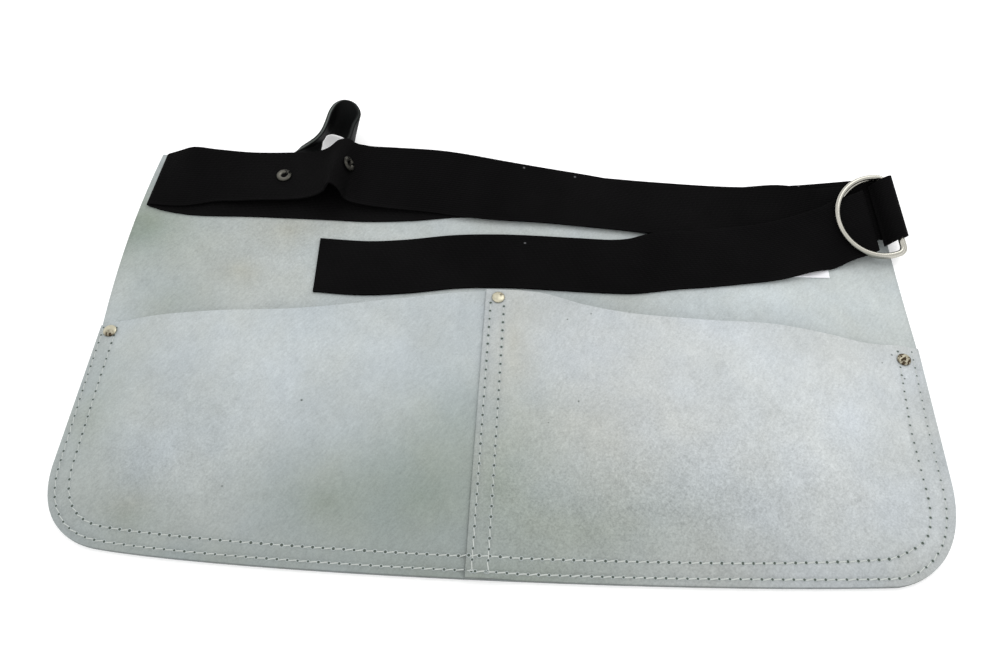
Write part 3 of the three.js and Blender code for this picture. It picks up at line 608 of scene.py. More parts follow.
def rivet_finish(name, metal, dirt, grime_and_reflection):
    """Dull plated rivets with painted shade in their hollows and a painted dark reflection on the loop
    rivets' flanges, small dents, and spots of grime, one of them a painted dark reflection.
    """
    finish = Finish(name)
    tarnish = finish.noise(380, 5, 0.65)
    dents = finish.noise(700, 2, 0.5)
    patchy = 0.3 + 1.2 * finish.window(tarnish, 0.44, 0.56)
    grime_and_reflection_share = sum(finish.spot(x, y, reach, reach) * strength * patchy for x, y, reach, strength in grime_and_reflection)
    # Painted shade in the hollows and a painted dark reflection on the loop rivets' flanges
    value = (0.6 + 0.7 * tarnish) * (1.0 - 0.8 * finish.attribute("painted_shade"))
    base = finish.scaled(finish.paint(metal), value)
    return finish.surface({
        "Base Color": finish.mix(grime_and_reflection_share.clamped(), base, finish.paint(dirt)),
        "Metallic": 1.0,
        "Roughness": (0.28 + 0.25 * tarnish + 0.3 * grime_and_reflection_share).clamped(),
        "Normal": finish.bump(dents, 0.00025, 0.6),
    })


def thread_finish():
    """Two-ply sewing thread."""
    finish = Finish("sewing_thread")
    ply = finish.node("ShaderNodeTexWave", {"wave_type": "BANDS", "bands_direction": "DIAGONAL"}, {
        "Vector": finish.place, "Scale": 900.0, "Distortion": 2.0, "Detail": 1.0}, out=1)
    soil = finish.noise(90, 3, 0.6)
    return finish.surface({
        "Base Color": finish.scaled(finish.paint("thread"), 0.72 + 0.3 * soil + 0.12 * ply),
        "Roughness": 0.8,
        "Sheen Weight": 0.2,
        "Normal": finish.bump(ply, 0.0001, 0.6),
    })


def needle_hole_finish():
    """Leather around a needle hole, with painted shade that darkens it toward the hole."""
    finish = Finish("needle_hole_leather")
    inside = finish.window(finish.attribute("painted_shade"), 0.1, 0.95)
    shade = finish.noise(300, 3, 0.6)
    lip = finish.scaled(finish.paint("suede_grey"), 0.85 + 0.3 * shade)
    return finish.surface({
        "Base Color": finish.mix(inside, lip, finish.paint("needle_hole")),
        "Roughness": 0.95,
        "Specular IOR Level": 0.1,
        "Normal": finish.bump(shade, 0.0001, 0.5),
    })


def tag_finish():
    """White woven tag cloth."""
    finish = Finish("white_tag_cloth")
    across, along = (
        finish.node("ShaderNodeTexWave", {"wave_type": "BANDS", "bands_direction": direction}, {
            "Vector": finish.place, "Scale": 480.0}, out=1)
        for direction in ("X", "Y"))
    soil = finish.noise(110, 3, 0.6)
    return finish.surface({
        "Base Color": finish.scaled(finish.paint("tag"), 0.9 + 0.16 * soil),
        "Roughness": 0.75,
        "Sheen Weight": 0.15,
        "Normal": finish.bump(across * along, 0.00012, 0.6),
    })


def floor_finish():
    """Plain pale backdrop paper, lit a little from below as on a light table."""
    finish = Finish("pale_floor")
    tooth = finish.noise(500, 2, 0.5)
    return finish.surface({
        "Base Color": finish.scaled(finish.paint("floor"), 0.985 + 0.02 * tooth),
        "Roughness": 0.95,
        "Specular IOR Level": 0.0,
        "Emission Color": (1.0, 1.0, 1.0, 1.0),
        "Emission Strength": FLOOR_GLOW,
    })


def in_frame(points):
    """Points measured from the seam's foot in millimetres, as points of the apron's frame in metres."""
    return (np.asarray(points, float) + SEAM_FOOT) * MM


def smooth_run(points, places, even=False):
    """Points at places, counted in spans, along a smooth curve through a list of points."""
    points = np.asarray(points, float)
    ends = (2 * points[0] - points[1], 2 * points[-1] - points[-2])
    padded = np.vstack((ends[0], points, ends[1]))
    span = np.minimum(np.floor(places).astype(int), len(points) - 2)
    share = (np.asarray(places) - span)[:, None]
    a, b, c, d = (padded[span + step] for step in range(4))
    if even:
        start, end = (c - a) / 2, (d - b) / 2
    else:
        first, middle, last = (
            np.maximum(np.linalg.norm(q - p, axis=1)[:, None] ** 0.5, 1e-4)
            for p, q in ((a, b), (b, c), (c, d)))
        start = ((b - a) / first - (c - a) / (first + middle) + (c - b) / middle) * middle
        end = ((c - b) / middle - (d - b) / (middle + last) + (d - c) / last) * middle
    rise = c - b
    return b + share * (start + share * (3 * rise - 2 * start - end + share * (start + end - 2 * rise)))


def outline_run(name, shares):
    """Points of one run of the panel's outline at shares of its bends."""
    names = list(OUTLINE)
    before = names.index(name)
    start = OUTLINE[names[before - 1]][-1] if before else OUTLINE_START
    points = np.array([start, *OUTLINE[name]], float)
    shares = np.asarray(shares, float)[:, None]
    order = len(points) - 1
    return sum(
        math.comb(order, i) * shares ** i * (1 - shares) ** (order - i) * point
        for i, point in enumerate(points))


def joined(*runs):
    """Runs of points that meet end to end, as one run."""
    return np.vstack([runs[0], *(run[1:] for run in runs[1:])])


def length_along(line):
    """How far along a line each of its points is."""
    return np.concatenate(((0,), np.cumsum(np.linalg.norm(np.diff(line, axis=0), axis=1))))


def at_shares(line, shares):
    """Points at shares of a line's length."""
    reach = length_along(line)
    places = np.asarray(shares) * reach[-1]
    return np.stack([np.interp(places, reach, column) for column in line.T], axis=1)


def edged_shares(count, rim):
    """Even shares from 0 to 1, with one more close to each end so that a cut edge keeps its shape."""
    return np.concatenate(((0, rim), np.linspace(0, 1, count + 1)[1:-1], (1 - rim, 1)))


def patch(foot, top, left, right, across, up):
    """Grid of plan points that fills the space between four edges."""
    foot, top = at_shares(foot, across), at_shares(top, across)
    left, right = at_shares(left, up), at_shares(right, up)
    u, v = across[None, :, None], up[:, None, None]
    corners = (1 - v) * ((1 - u) * foot[0] + u * foot[-1]) + v * ((1 - u) * top[0] + u * top[-1])
    return (1 - v) * foot[None] + v * top[None] + (1 - u) * left[:, None] + u * right[:, None] - corners


def table_at(rows, column, x):
    """Smooth value of one column of a table between its rows."""
    rows = np.asarray(rows, float)
    keys, values = rows[:, 0], rows[:, column]
    slopes = np.gradient(values, keys)
    i = np.clip(np.searchsorted(keys, x) - 1, 0, len(keys) - 2)
    span = keys[i + 1] - keys[i]
    t = np.clip((x - keys[i]) / span, 0, 1)
    start, end, rise = slopes[i] * span, slopes[i + 1] * span, values[i + 1] - values[i]
    return values[i] + t * (start + t * (3 * rise - 2 * start - end + t * (start + end - 2 * rise)))


def smooth_step(value, low, high):
    share = np.clip((value - low) / (high - low), 0, 1)
    return share * share * (3 - 2 * share)


def distance_to(points, line):
    """Distance of plan points from a line of points."""
    flat = points.reshape(-1, 2)
    nearest = np.full(len(flat), np.inf)
    for a, b in zip(line[:-1], line[1:]):
        along = b - a
        share = np.clip(((flat - a) @ along) / max(along @ along, 1e-12), 0, 1)
        nearest = np.minimum(nearest, np.linalg.norm(flat - a - share[:, None] * along, axis=1))
    return nearest.reshape(points.shape[:-1])


def piece_from(name, points, faces, material):
    """Smooth mesh object at the origin from points in the apron's frame, faces pointing outwards."""
    corners = np.asarray(points)
    a, b, c = (corners[[face[k] for face in faces]] for k in range(3))
    volume = (a * np.cross(b, c)).sum()
    quads = [face for face in faces if len(face) == 4]
    if quads:
        a, b, c = (corners[[face[k] for face in quads]] for k in (0, 2, 3))
        volume += (a * np.cross(b, c)).sum()
    mesh = bpy.data.meshes.new(name)
    mesh.from_pydata(corners.tolist(), [], faces if volume > 0 else [face[::-1] for face in faces])
    mesh.polygons.foreach_set("use_smooth", [True] * len(mesh.polygons))
    mesh.materials.append(material)
    piece = bpy.data.objects.new(name, mesh)
    bpy.context.scene.collection.objects.link(piece)
    return piece


def store(piece, title, values):
    """Keeps one number for each point of a piece, for its finish to read."""
    kept = piece.data.attributes.new(title, "FLOAT", "POINT")
    kept.data.foreach_set("value", np.asarray(values, np.float32))


def closed_sheet(name, middle, thick, material, rounding=0.35, values=None, weave=None):
    """Sheet of even thickness over a grid of points on its middle face, closed by a rounded cut edge."""
    rows, columns = middle.shape[:2]
    along, across = np.gradient(middle, axis=0), np.gradient(middle, axis=1)
    face = np.cross(across, along)
    face *= (thick / 2) / np.maximum(np.linalg.norm(face, axis=2, keepdims=True), 1e-9)
    upper, lower = middle + face, middle - face
    rim = [(0, j) for j in range(columns)] + [(i, columns - 1) for i in range(1, rows)]
    rim += [(rows - 1, j) for j in range(columns - 2, -1, -1)] + [(i, 0) for i in range(rows - 2, 0, -1)]
    size, count = rows * columns, len(rim)
    inner = [(min(max(i, 1), rows - 2), min(max(j, 1), columns - 2)) for i, j in rim]
    out = np.array([middle[p] - middle[q] for p, q in zip(rim, inner)])
    out *= rounding / np.maximum(np.linalg.norm(out, axis=1, keepdims=True), 1e-9)
    points = [upper.reshape(-1, 3), lower.reshape(-1, 3)]
    for depth, _ in CUT_EDGE:
        edge = np.array([upper[p] * (1 - depth) + lower[p] * depth for p in rim])
        points.append(edge + out * math.sin(math.pi * depth))
    faces = []
    for i in range(rows - 1):
        for j in range(columns - 1):
            a, b = i * columns + j, (i + 1) * columns + j
            faces.append((a, a + 1, b + 1, b))
            faces.append((size + a, size + b, size + b + 1, size + a + 1))
    sources = [i * columns + j for i, j in rim]
    loops = [sources]
    loops += [[2 * size + k * count + place for place in range(count)] for k in range(len(CUT_EDGE))]
    loops.append([size + source for source in sources])
    for first, second in zip(loops[:-1], loops[1:]):
        for k in range(count):
            after = (k + 1) % count
            faces.append((first[after], first[k], second[k], second[after]))
    piece = piece_from(name, in_frame(np.vstack(points)), faces, material)
    everywhere = list(range(size)) * 2 + sources * len(CUT_EDGE)
    for title, grid in (values or {}).items():
        store(piece, title, grid.reshape(-1)[everywhere])
    shown = np.repeat([show for _, show in CUT_EDGE], count)
    store(piece, "cut_edge", np.concatenate((np.zeros(2 * size), shown)))
    if weave is not None:
        layer = piece.data.uv_layers.new(name="weave")
        corner = np.zeros(len(piece.data.loops), np.int32)
        piece.data.loops.foreach_get("vertex_index", corner)
        flat = weave.reshape(-1, 2)[everywhere][corner]
        layer.data.foreach_set("uv", flat.astype(np.float32).reshape(-1))
    return piece


def strip(name, stations, thick, spans, material):
    """Long strip swept through stations that give its middle and the reach from there to its upper edge."""
    step, across, rounding = spans
    middles = np.array([middle for middle, _ in stations], float)
    reaches = np.array([reach for _, reach in stations], float)
    places = [0.0]
    for i, length in enumerate(np.linalg.norm(np.diff(middles, axis=0), axis=1)):
        count = max(3, math.ceil(length / step))
        places += [i + k / count for k in range(1, count + 1)]
    line, reach = smooth_run(middles, places), smooth_run(reaches, places, even=True)
    sides = 1 - 2 * edged_shares(across, STRIP_RIM)
    grid = line[:, None] + reach[:, None] * sides[None, :, None]
    run, width = length_along(line), 2 * np.linalg.norm(reach, axis=1)
    weave = np.stack(np.broadcast_arrays(
        run[:, None], (1 - sides[None, :]) / 2 * width[:, None]), axis=2) * MM
    piece = closed_sheet(name, grid, thick, material, rounding, weave=weave)
    return piece, run[-1] * MM, float(width.mean()) * MM


def settle(piece, slot, *nodes):
    """Makes a finished piece part of the apron."""
    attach(piece, "root")
    if nodes:
        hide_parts(*nodes)


def whole(count=RUN_SPANS):
    """Shares of a whole run."""
    return np.linspace(0, 1, count + 1)


def half_corner(name, lower):
    """The half of a bottom corner that belongs to the hem, or the one that belongs to the side."""
    left = name == "left_corner"
    half = whole(RUN_SPANS // 2) / 2
    return outline_run(name, half + 0.5 if left == lower else half)


def sewn_outline():
    """The outline from one pocket mouth down and round to the other."""
    return joined(
        outline_run("left_flank", whole(FLANK_SPANS)), outline_run("left_corner", whole()),
        outline_run("hem", whole(HEM_SPANS)), outline_run("right_corner", whole()),
        outline_run("right_flank", whole(FLANK_SPANS)))


class APRON_OT_back_panel(bpy.types.Operator):
    """Lay the back panel: one sheet of split leather with a curved hem and slightly waved faces"""
    bl_idname = "apron.back_panel"
    bl_label = "Back panel"

    def execute(self, context):
        thick = context.scene.apron_sizes.panel_thick / MM
        foot = joined(
            half_corner("left_corner", True), outline_run("hem", whole(HEM_SPANS)),
            half_corner("right_corner", True))
        left = joined(
            half_corner("left_corner", False)[::-1], outline_run("left_flank", whole())[::-1],
            outline_run("left_side", whole())[::-1])
        right = joined(
            half_corner("right_corner", False), outline_run("right_flank", whole()),
            outline_run("right_side", whole()))
        top = outline_run("waist", whole(WAIST_SPANS))[::-1]
        plan = patch(foot, top, left, right, *(edged_shares(*spans) for spans in PANEL_SPANS))
        x, y = plan[..., 0], plan[..., 1]
        wave = PANEL_WAVE * (np.sin(x / 37 + 0.6 * np.sin(y / 29)) * np.cos(y / 41) + 1)
        middle = np.dstack((plan, thick / 2 + wave))
        edge = distance_to(plan, joined(foot, right, top[::-1], left[::-1]))
        edge = edge * np.where(y > BARE_PANEL, MARGIN_NARROWED, 1)
        piece = closed_sheet("suede_panel", middle, thick, suede("back_panel"), values={
            "from_edge": np.minimum(edge, FAR), "from_row": np.full(edge.shape, FAR)})
        settle(piece, "split_leather", "back_panel")
        return {"FINISHED"}


class APRON_OT_pocket_fronts(bpy.types.Operator):
    """Lay the two pocket fronts, which stand off the panel toward their open mouths and lap at the seam"""
    bl_idname = "apron.pocket_fronts"
    bl_label = "Pocket fronts"

    def execute(self, context):
        sizes = context.scene.apron_sizes
        thick = sizes.front_thick / MM
        seat = sizes.panel_thick / MM + LAYER_GAP
        hem = outline_run("hem", whole(FRONT_HEM_SPANS))
        outline = sewn_outline()
        rows = [row[::ROW_THINNED] if len(row) > 2 else row for row, _, _ in stitch_rows(sizes)]
        across, up = (edged_shares(*spans) for spans in FRONT_SPANS)
        opening = np.sin(up[:, None] * math.pi / 2)
        for side, mouth in (("left", MOUTH_LEFT), ("right", MOUTH_RIGHT)):
            left_side = side == "left"
            seam = np.array((mouth[-1] if left_side else mouth[0])[:2], float)
            seam_foot = np.array((seam[0], np.interp(seam[0], hem[:, 0], hem[:, 1])))
            seam_line = np.linspace(seam_foot, seam, SEAM_SPANS + 1)
            mouth_x = np.linspace(mouth[0][0], mouth[-1][0], MOUTH_SPANS + 1)
            top = np.stack((mouth_x, table_at(mouth, 1, mouth_x)), axis=1)
            if left_side:
                hem_part = np.vstack((hem[hem[:, 0] < seam[0]], seam_foot))
                foot = joined(half_corner("left_corner", True), hem_part)
                flank = np.linspace(OUTLINE["left_flank"][-1], mouth[0][:2], SIDE_SPANS + 1)
                left, right = joined(half_corner("left_corner", False)[::-1], flank), seam_line
            else:
                hem_part = np.vstack((seam_foot, hem[hem[:, 0] > seam[0]]))
                foot = joined(hem_part, half_corner("right_corner", True))
                flank = np.linspace(OUTLINE["right_corner"][-1], mouth[-1][:2], SIDE_SPANS + 1)
                left, right = seam_line, joined(half_corner("right_corner", False), flank)
            plan = patch(foot, top, left, right, across, up)
            x, y = plan[..., 0], plan[..., 1]
            bulge = np.maximum(0, table_at(mouth, 2, at_shares(top, across)[None, :, 0]))
            stand = seat + bulge * opening ** FULLNESS
            edge = np.minimum(distance_to(plan, outline), FAR)
            if not left_side:
                lap = 1 - smooth_step(x, LAP_WIDTH, LAP_WIDTH + LAP_RUNOUT)
                stand = stand + (thick + LAYER_GAP) * lap
                edge = np.minimum(edge, np.abs(x) + 1)
            loose = np.clip(bulge / RIPPLE_FULL, 0, 1) * opening
            ripple = np.sin(x / 31 + 1.2 * np.sin(y / 47)) * np.cos(y / 38 + x / 90)
            middle = np.dstack((plan, stand + thick / 2 + loose * RIPPLE_HEIGHT * ripple))
            from_row = np.min([distance_to(plan, row) for row in rows], axis=0)
            piece = closed_sheet(
                f"suede_front_{side}", middle, thick, suede(f"{side}_front"),
                values={"from_edge": edge, "from_row": from_row})
            settle(piece, "split_leather", f"pocket_{side}")
        return {"FINISHED"}


def seat_matrix():
    """Frame of the belt where it passes the rings: along, across, above."""
    turn = Matrix.Rotation(math.radians(RING_SEAT["yaw"]), 4, "Z")
    lift = Matrix.Rotation(math.radians(RING_SEAT["tilt"]), 4, "X")
    rise = Matrix.Rotation(math.radians(-RING_SEAT["pitch"]), 4, "Y")
    place = Matrix.Translation((RING_SEAT["x"], RING_SEAT["y"], RING_SEAT["z"]))
    return place @ turn @ lift @ rise


class APRON_OT_belt(bpy.types.Operator):
    """Lay the webbing belt: from its fold at the rings, along and back over itself, then through them"""
    bl_idname = "apron.belt"
    bl_label = "Webbing belt"

    def execute(self, context):
        sizes = context.scene.apron_sizes
        half = sizes.web_width / MM / 2
        seat = seat_matrix()
        seat_reach = np.array(seat.col[1][:3]) * half

        def at_seat(row):
            return np.array(seat @ Vector(row)), seat_reach

        def in_open(row):
            x, y, z, tilt, yaw = row
            lift, turn = math.radians(tilt), math.radians(yaw)
            flat = math.cos(lift)
            reach = np.array((-math.sin(turn) * flat, math.cos(turn) * flat, math.sin(lift)))
            return np.array((x, y, z)), reach * half

        stations = [at_seat(row) for row in BELT_ANCHOR]
        stations += [in_open(row) for row in BELT_BASE + BELT_UPPER]
        stations += [at_seat(row) for row in BELT_THROUGH]
        stations += [in_open(row) for row in BELT_TAIL]
        piece, length, _ = strip(
            "webbing_belt", stations, sizes.web_thick / MM, BELT_SPANS, webbing_finish())
        settle(piece, "webbing", "belt")
        return {"FINISHED"}


class APRON_OT_hammer_loop(bpy.types.Operator):
    """Bend the hammer loop: a leather band that turns on edge, rounds over the waist and comes back"""
    bl_idname = "apron.hammer_loop"
    bl_label = "Hammer loop"

    def execute(self, context):
        sizes = context.scene.apron_sizes
        stations = []
        for rim, foot in LOOP:
            rim, foot = np.array(rim, float), np.array(foot, float)
            stations.append(((rim + foot) / 2, (rim - foot) / 2))
        piece, length, width = strip(
            "leather_loop", stations, sizes.band_thick / MM, LOOP_SPANS, loop_finish())
        settle(piece, "black_leather", "hammer_loop")
        return {"FINISHED"}


class Growth(Bench):
    """A Geometry Nodes tree under construction, with named inputs."""

    def __init__(self, name, **inputs):
        super().__init__(bpy.data.node_groups.new(name, "GeometryNodeTree"))
        face = self.tree.interface
        face.new_socket("Geometry", in_out="INPUT", socket_type="NodeSocketGeometry")
        for title, kind in inputs.items():
            face.new_socket(title, in_out="INPUT", socket_type=kind)
        face.new_socket("Geometry", in_out="OUTPUT", socket_type="NodeSocketGeometry")
        entry = self.tree.nodes.new("NodeGroupInput")
        self.given = {socket.name: Tap(self, socket) for socket in entry.outputs if socket.name}

    def vector(self, name):
        return self.node("GeometryNodeInputNamedAttribute", {"data_type": "FLOAT_VECTOR"}, {"Name": name})

    def close(self, geometry, material):
        whole_mesh = self.node("GeometryNodeRealizeInstances", {}, {"Geometry": geometry})
        smooth = self.node("GeometryNodeSetShadeSmooth", {}, {"Geometry": whole_mesh})
        painted = self.node("GeometryNodeSetMaterial", {}, {"Geometry": smooth, "Material": material})
        self.node("NodeGroupOutput", {}, {"Geometry": painted})

    def grow(self, name, host, **values):
        """Runs the tree on a host object and leaves its result as a plain mesh at the origin."""
        modifier = host.modifiers.new(self.tree.name, "NODES")
        modifier.node_group = self.tree
        for item in self.tree.interface.items_tree:
            if item.item_type == "SOCKET" and item.in_out == "INPUT" and item.name in values:
                modifier[item.identifier] = values[item.name]
        graph = bpy.context.evaluated_depsgraph_get()
        mesh = bpy.data.meshes.new_from_object(host.evaluated_get(graph), depsgraph=graph)
        mesh.name = name
        host.modifiers.remove(modifier)
        bpy.data.objects.remove(host)
        if not mesh.polygons:
            raise RuntimeError(f"{name} came out empty")
        piece = bpy.data.objects.new(name, mesh)
        bpy.context.scene.collection.objects.link(piece)
        return piece


def host_of(name, points, edges=(), **vectors):
    """Mesh of points or lines for a tree to work on."""
    mesh = bpy.data.meshes.new(name)
    mesh.from_pydata([tuple(point) for point in points], [tuple(edge) for edge in edges], [])
    for title, rows in vectors.items():
        stored = mesh.attributes.new(title, "FLOAT_VECTOR", "POINT")
        stored.data.foreach_set("vector", np.asarray(rows, np.float32).reshape(-1))
    host = bpy.data.objects.new(name, mesh)
    bpy.context.scene.collection.objects.link(host)
    return host


def turned(name, profile, sides, material, painted_shade):
    """Round piece turned from radii and heights in millimetres, with a mark on each ring of how much
    painted shade it gets.
    """
    points, faces, marks = [], [], []
    for (radius, height), mark in zip(profile, painted_shade):
        ring = sides if radius else 1
        for j in range(ring):
            angle = 2 * math.pi * j / sides
            points.append((radius * math.cos(angle) * MM, radius * math.sin(angle) * MM, height * MM))
        marks += [mark] * ring
    starts = np.cumsum([0] + [sides if radius else 1 for radius, _ in profile]).tolist()
    for k, ((first, _), (second, _)) in enumerate(zip(profile[:-1], profile[1:])):
        low, high = starts[k], starts[k + 1]
        for j in range(sides):
            after = (j + 1) % sides
            if not first:
                faces.append((low, high + after, high + j))
            elif not second:
                faces.append((low + j, low + after, high))
            else:
                faces.append((low + j, low + after, high + after, high + j))
    piece = piece_from(name, points, faces, material)
    store(piece, "painted_shade", marks)
    return piece


def planted(name, pattern, points, axes, material, sizes=None):
    """Copies of a turned pattern planted at points along their axes, each at its own size, as one mesh."""
    tree = Growth(f"plant_{name}", Pattern="NodeSocketObject", Finish="NodeSocketMaterial")
    shape = tree.node("GeometryNodeObjectInfo", {"transform_space": "ORIGINAL"}, {
        "Object": tree.given["Pattern"]}, out="Geometry")
    turn = tree.node("FunctionNodeAlignRotationToVector", {"axis": "Z"}, {"Vector": tree.vector("axis")})
    copies = tree.node("GeometryNodeInstanceOnPoints", {}, {
        "Points": tree.given["Geometry"], "Instance": shape, "Rotation": turn,
        "Scale": tree.vector("size")})
    tree.close(copies, tree.given["Finish"])
    host = host_of(f"{name}_points", points, axis=axes, size=sizes or [(1, 1, 1)] * len(points))
    piece = tree.grow(name, host, Pattern=pattern, Finish=material)
    bpy.data.objects.remove(pattern)
    return piece


# Spans along a ring's bar, its corners and its arc, and sides of its wire
BAR_SPANS, CORNER_SPANS, ARC_SPANS, WIRE_SIDES = 25, 10, 72, 18


class APRON_OT_rings(bpy.types.Operator):
    """Bend the two D-rings from plated wire and hang them in the belt's folded end"""
    bl_idname = "apron.rings"
    bl_label = "D-rings"

    def execute(self, context):
        sizes = context.scene.apron_sizes
        material = nickel_finish()
        radius, depth, corner = RING_RADIUS, RING_DEPTH, RING_CORNER
        back = depth - radius
        bar_half = math.sqrt((radius - corner) ** 2 - (back - corner) ** 2)
        turn = math.atan2(bar_half, back - corner)
        for name, row in RINGS.items():
            line = [(0, y) for y in np.linspace(-bar_half, bar_half, BAR_SPANS + 1)[:-1]]
            for middle_x, middle_y, reach, start, end, count in (
                    (-corner, bar_half, corner, 0, turn, CORNER_SPANS),
                    (-back, 0, radius, turn, 2 * math.pi - turn, ARC_SPANS),
                    (-corner, -bar_half, corner, -turn, 0, CORNER_SPANS)):
                line += [
                    (middle_x + reach * math.cos(a), middle_y + reach * math.sin(a))
                    for a in np.linspace(start, end, count + 1)[:-1]]
            lean = Matrix.Rotation(math.asin((row["arc_above"] - row["bar_above"]) / depth), 4, "Y")
            seat = seat_matrix() @ Matrix.Translation((row["bar"], row["slide"], row["bar_above"])) @ lean
            points = in_frame([tuple(seat @ Vector((x, y, 0))) for x, y in line])
            edges = [(i, (i + 1) % len(points)) for i in range(len(points))]
            tree = Growth(f"bend_{name}", Radius="NodeSocketFloat", Finish="NodeSocketMaterial")
            path = tree.node("GeometryNodeMeshToCurve", {}, {"Mesh": tree.given["Geometry"]})
            gauge = tree.node("GeometryNodeCurvePrimitiveCircle", {"mode": "RADIUS"}, {
                "Resolution": WIRE_SIDES, "Radius": tree.given["Radius"]})
            wire = tree.node("GeometryNodeCurveToMesh", {}, {"Curve": path, "Profile Curve": gauge})
            tree.close(wire, tree.given["Finish"])
            host = host_of(f"{name}_line", points, edges)
            piece = tree.grow(f"wire_{name}", host, Radius=sizes.wire_radius, Finish=material)
            settle(piece, "nickel", name)
        return {"FINISHED"}


RIVET_SIDES = 28
# A rivet's shank: radius and depth below its head, which starts a hair above the leather
DOMED_SHANK, TUBE_SHANK, HEAD_FOOT = (1.6, 3.4), (2.6, 4), 0.02
# Under a domed head its rim rolls in: inset from the head's radius, height
DOMED_RIM = [(0.5, HEAD_FOOT), (0.1, 0.16), (0, 0.42), (0.12, 0.7)]
# The dome springs from this height, at this share of the head's radius; first angle, last angle, points
DOME_SPRING, DOME_SHARE, DOME_ARC = 0.72, 0.97, (0.12, 1.42, 8)
# Rim of a tubular head: inset from its radius, height
TUBE_RIM = [(0.6, HEAD_FOOT), (0.1, 0.25), (0, 0.6)]
# It rolls over about a radius and a height; where the roll begins, how far it rises, and its arc as above
TUBE_ROLL, TUBE_ROLL_OUT, TUBE_ROLL_UP, TUBE_ARC = (4.1, 0.65), 4.15, 0.85, (0.25, 2.4, 7)
# The tube's bore inside the roll: radius, height
TUBE_BORE = [(2.35, 0.95), (2.0, 0.5), (2.0, -1.2), (0, -1.2)]
# Painted shade on each ring of the two profiles, from 0 in the open to 1 in the dark: at the foot of the
# domed head, and on the tubular head a painted dark reflection over its flange and roll and painted shade
# in its bore
DOMED_MARKS = [0] * 3 + [0.9, 0.7, 0.3] + [0] * 10
TUBE_MARKS = [0] * 3 + [0.9, 0.85, 0.8, 0.75, 0.7, 0.55, 0.3, 0.1, 0, 0.1] + [0.35, 0.7, 1, 1]


def rivet_foot(shank, rim, head):
    """The start of a rivet's profile: its shank, then the rim of its head."""
    radius, depth = shank
    return [(0, -depth), (radius, -depth), (radius, HEAD_FOOT)] + [(head - inset, z) for inset, z in rim]


class APRON_OT_rivets(bpy.types.Operator):
    """Set the domed rivets at the pockets' corners and the tubular rivets that hold the hammer loop"""
    bl_idname = "apron.rivets"
    bl_label = "Rivets"

    def execute(self, context):
        sizes = context.scene.apron_sizes
        metal = rivet_finish("dull_rivet_metal", "rivet_metal", "grime_and_reflection", DOMED_GRIME_AND_REFLECTION)
        head, rise = sizes.rivet_radius / MM, sizes.rivet_dome / MM - DOME_SPRING
        profile = rivet_foot(DOMED_SHANK, DOMED_RIM, head)
        profile += [
            (DOME_SHARE * head * math.cos(a), DOME_SPRING + rise * math.sin(a))
            for a in np.linspace(*DOME_ARC)]
        profile.append((0, DOME_SPRING + rise))
        pattern = turned("domed_pattern", profile, RIVET_SIDES, metal, DOMED_MARKS)
        layer = sizes.front_thick / MM + LAYER_GAP
        panel_top = sizes.panel_thick / MM + LAYER_GAP
        points = [(x, y, panel_top + fronts * layer) for x, y, fronts in POCKET_RIVETS.values()]
        piece = planted("domed_rivets", pattern, in_frame(points), [(0, 0, 1)] * len(points), metal)
        settle(piece, "rivet_metal", *POCKET_RIVETS)

        metal = rivet_finish("dark_rivet_metal", "tube_metal", "loop_face", TUBULAR_GRIME)
        tube = sizes.tube_radius / MM
        roll_radius, roll_height = TUBE_ROLL
        profile = rivet_foot(TUBE_SHANK, TUBE_RIM, tube)
        profile += [
            (roll_radius + (tube - TUBE_ROLL_OUT) * math.cos(a), roll_height + TUBE_ROLL_UP * math.sin(a))
            for a in np.linspace(*TUBE_ARC)]
        pattern = turned("tubular_pattern", profile + TUBE_BORE, RIVET_SIDES, metal, TUBE_MARKS)
        points, axes = [], []
        for x, y, z, lean, above in LOOP_RIVETS.values():
            axis = np.array((math.sin(math.radians(lean)), 0, math.cos(math.radians(lean))))
            points.append(np.array((x, y, z)) + axis * (above + sizes.web_thick / MM / 2 + LAYER_GAP))
            axes.append(axis)
        piece = planted("tubular_rivets", pattern, in_frame(points), axes, metal)
        settle(piece, "rivet_metal", *LOOP_RIVETS)
        return {"FINISHED"}


class APRON_OT_label(bpy.types.Operator):
    """Tuck the bare cloth tag under the belt's lower edge"""
    bl_idname = "apron.label"
    bl_label = "Cloth tag"

    def execute(self, context):
        left, right, foot, top, low, thick = LABEL_BOX.values()
        across, up = TAG_POINTS
        x, y = np.meshgrid(np.linspace(left, right, across), np.linspace(foot, top, up))
        height, length_x, length_y = TAG_CURL
        curl = height * np.sin((x - left) / length_x) * np.sin((y - foot) / length_y)
        middle = np.dstack((x, y, low + thick / 2 + curl))
        piece = closed_sheet("cloth_tag", middle, thick, tag_finish(), TAG_ROUNDING)
        settle(piece, "tag_cloth", "label")
        return {"FINISHED"}


def leather_surface():
    """The leather's upper faces, for dropping stitches on."""
    points, faces = [], []
    for name in ("suede_panel", "suede_front_left", "suede_front_right"):
        mesh = bpy.data.objects[name].data
        start = len(points)
        points += [vertex.co.copy() for vertex in mesh.vertices]
        faces += [[start + corner for corner in face.vertices] for face in mesh.polygons]
    return BVHTree.FromPolygons(points, faces)


def inset(line, distance):
    """A line moved to its left, by one distance or by one for each point."""
    along = np.gradient(line, axis=0)
    along /= np.linalg.norm(along, axis=1, keepdims=True)
    return line + distance * np.stack((-along[:, 1], along[:, 0]), axis=1)


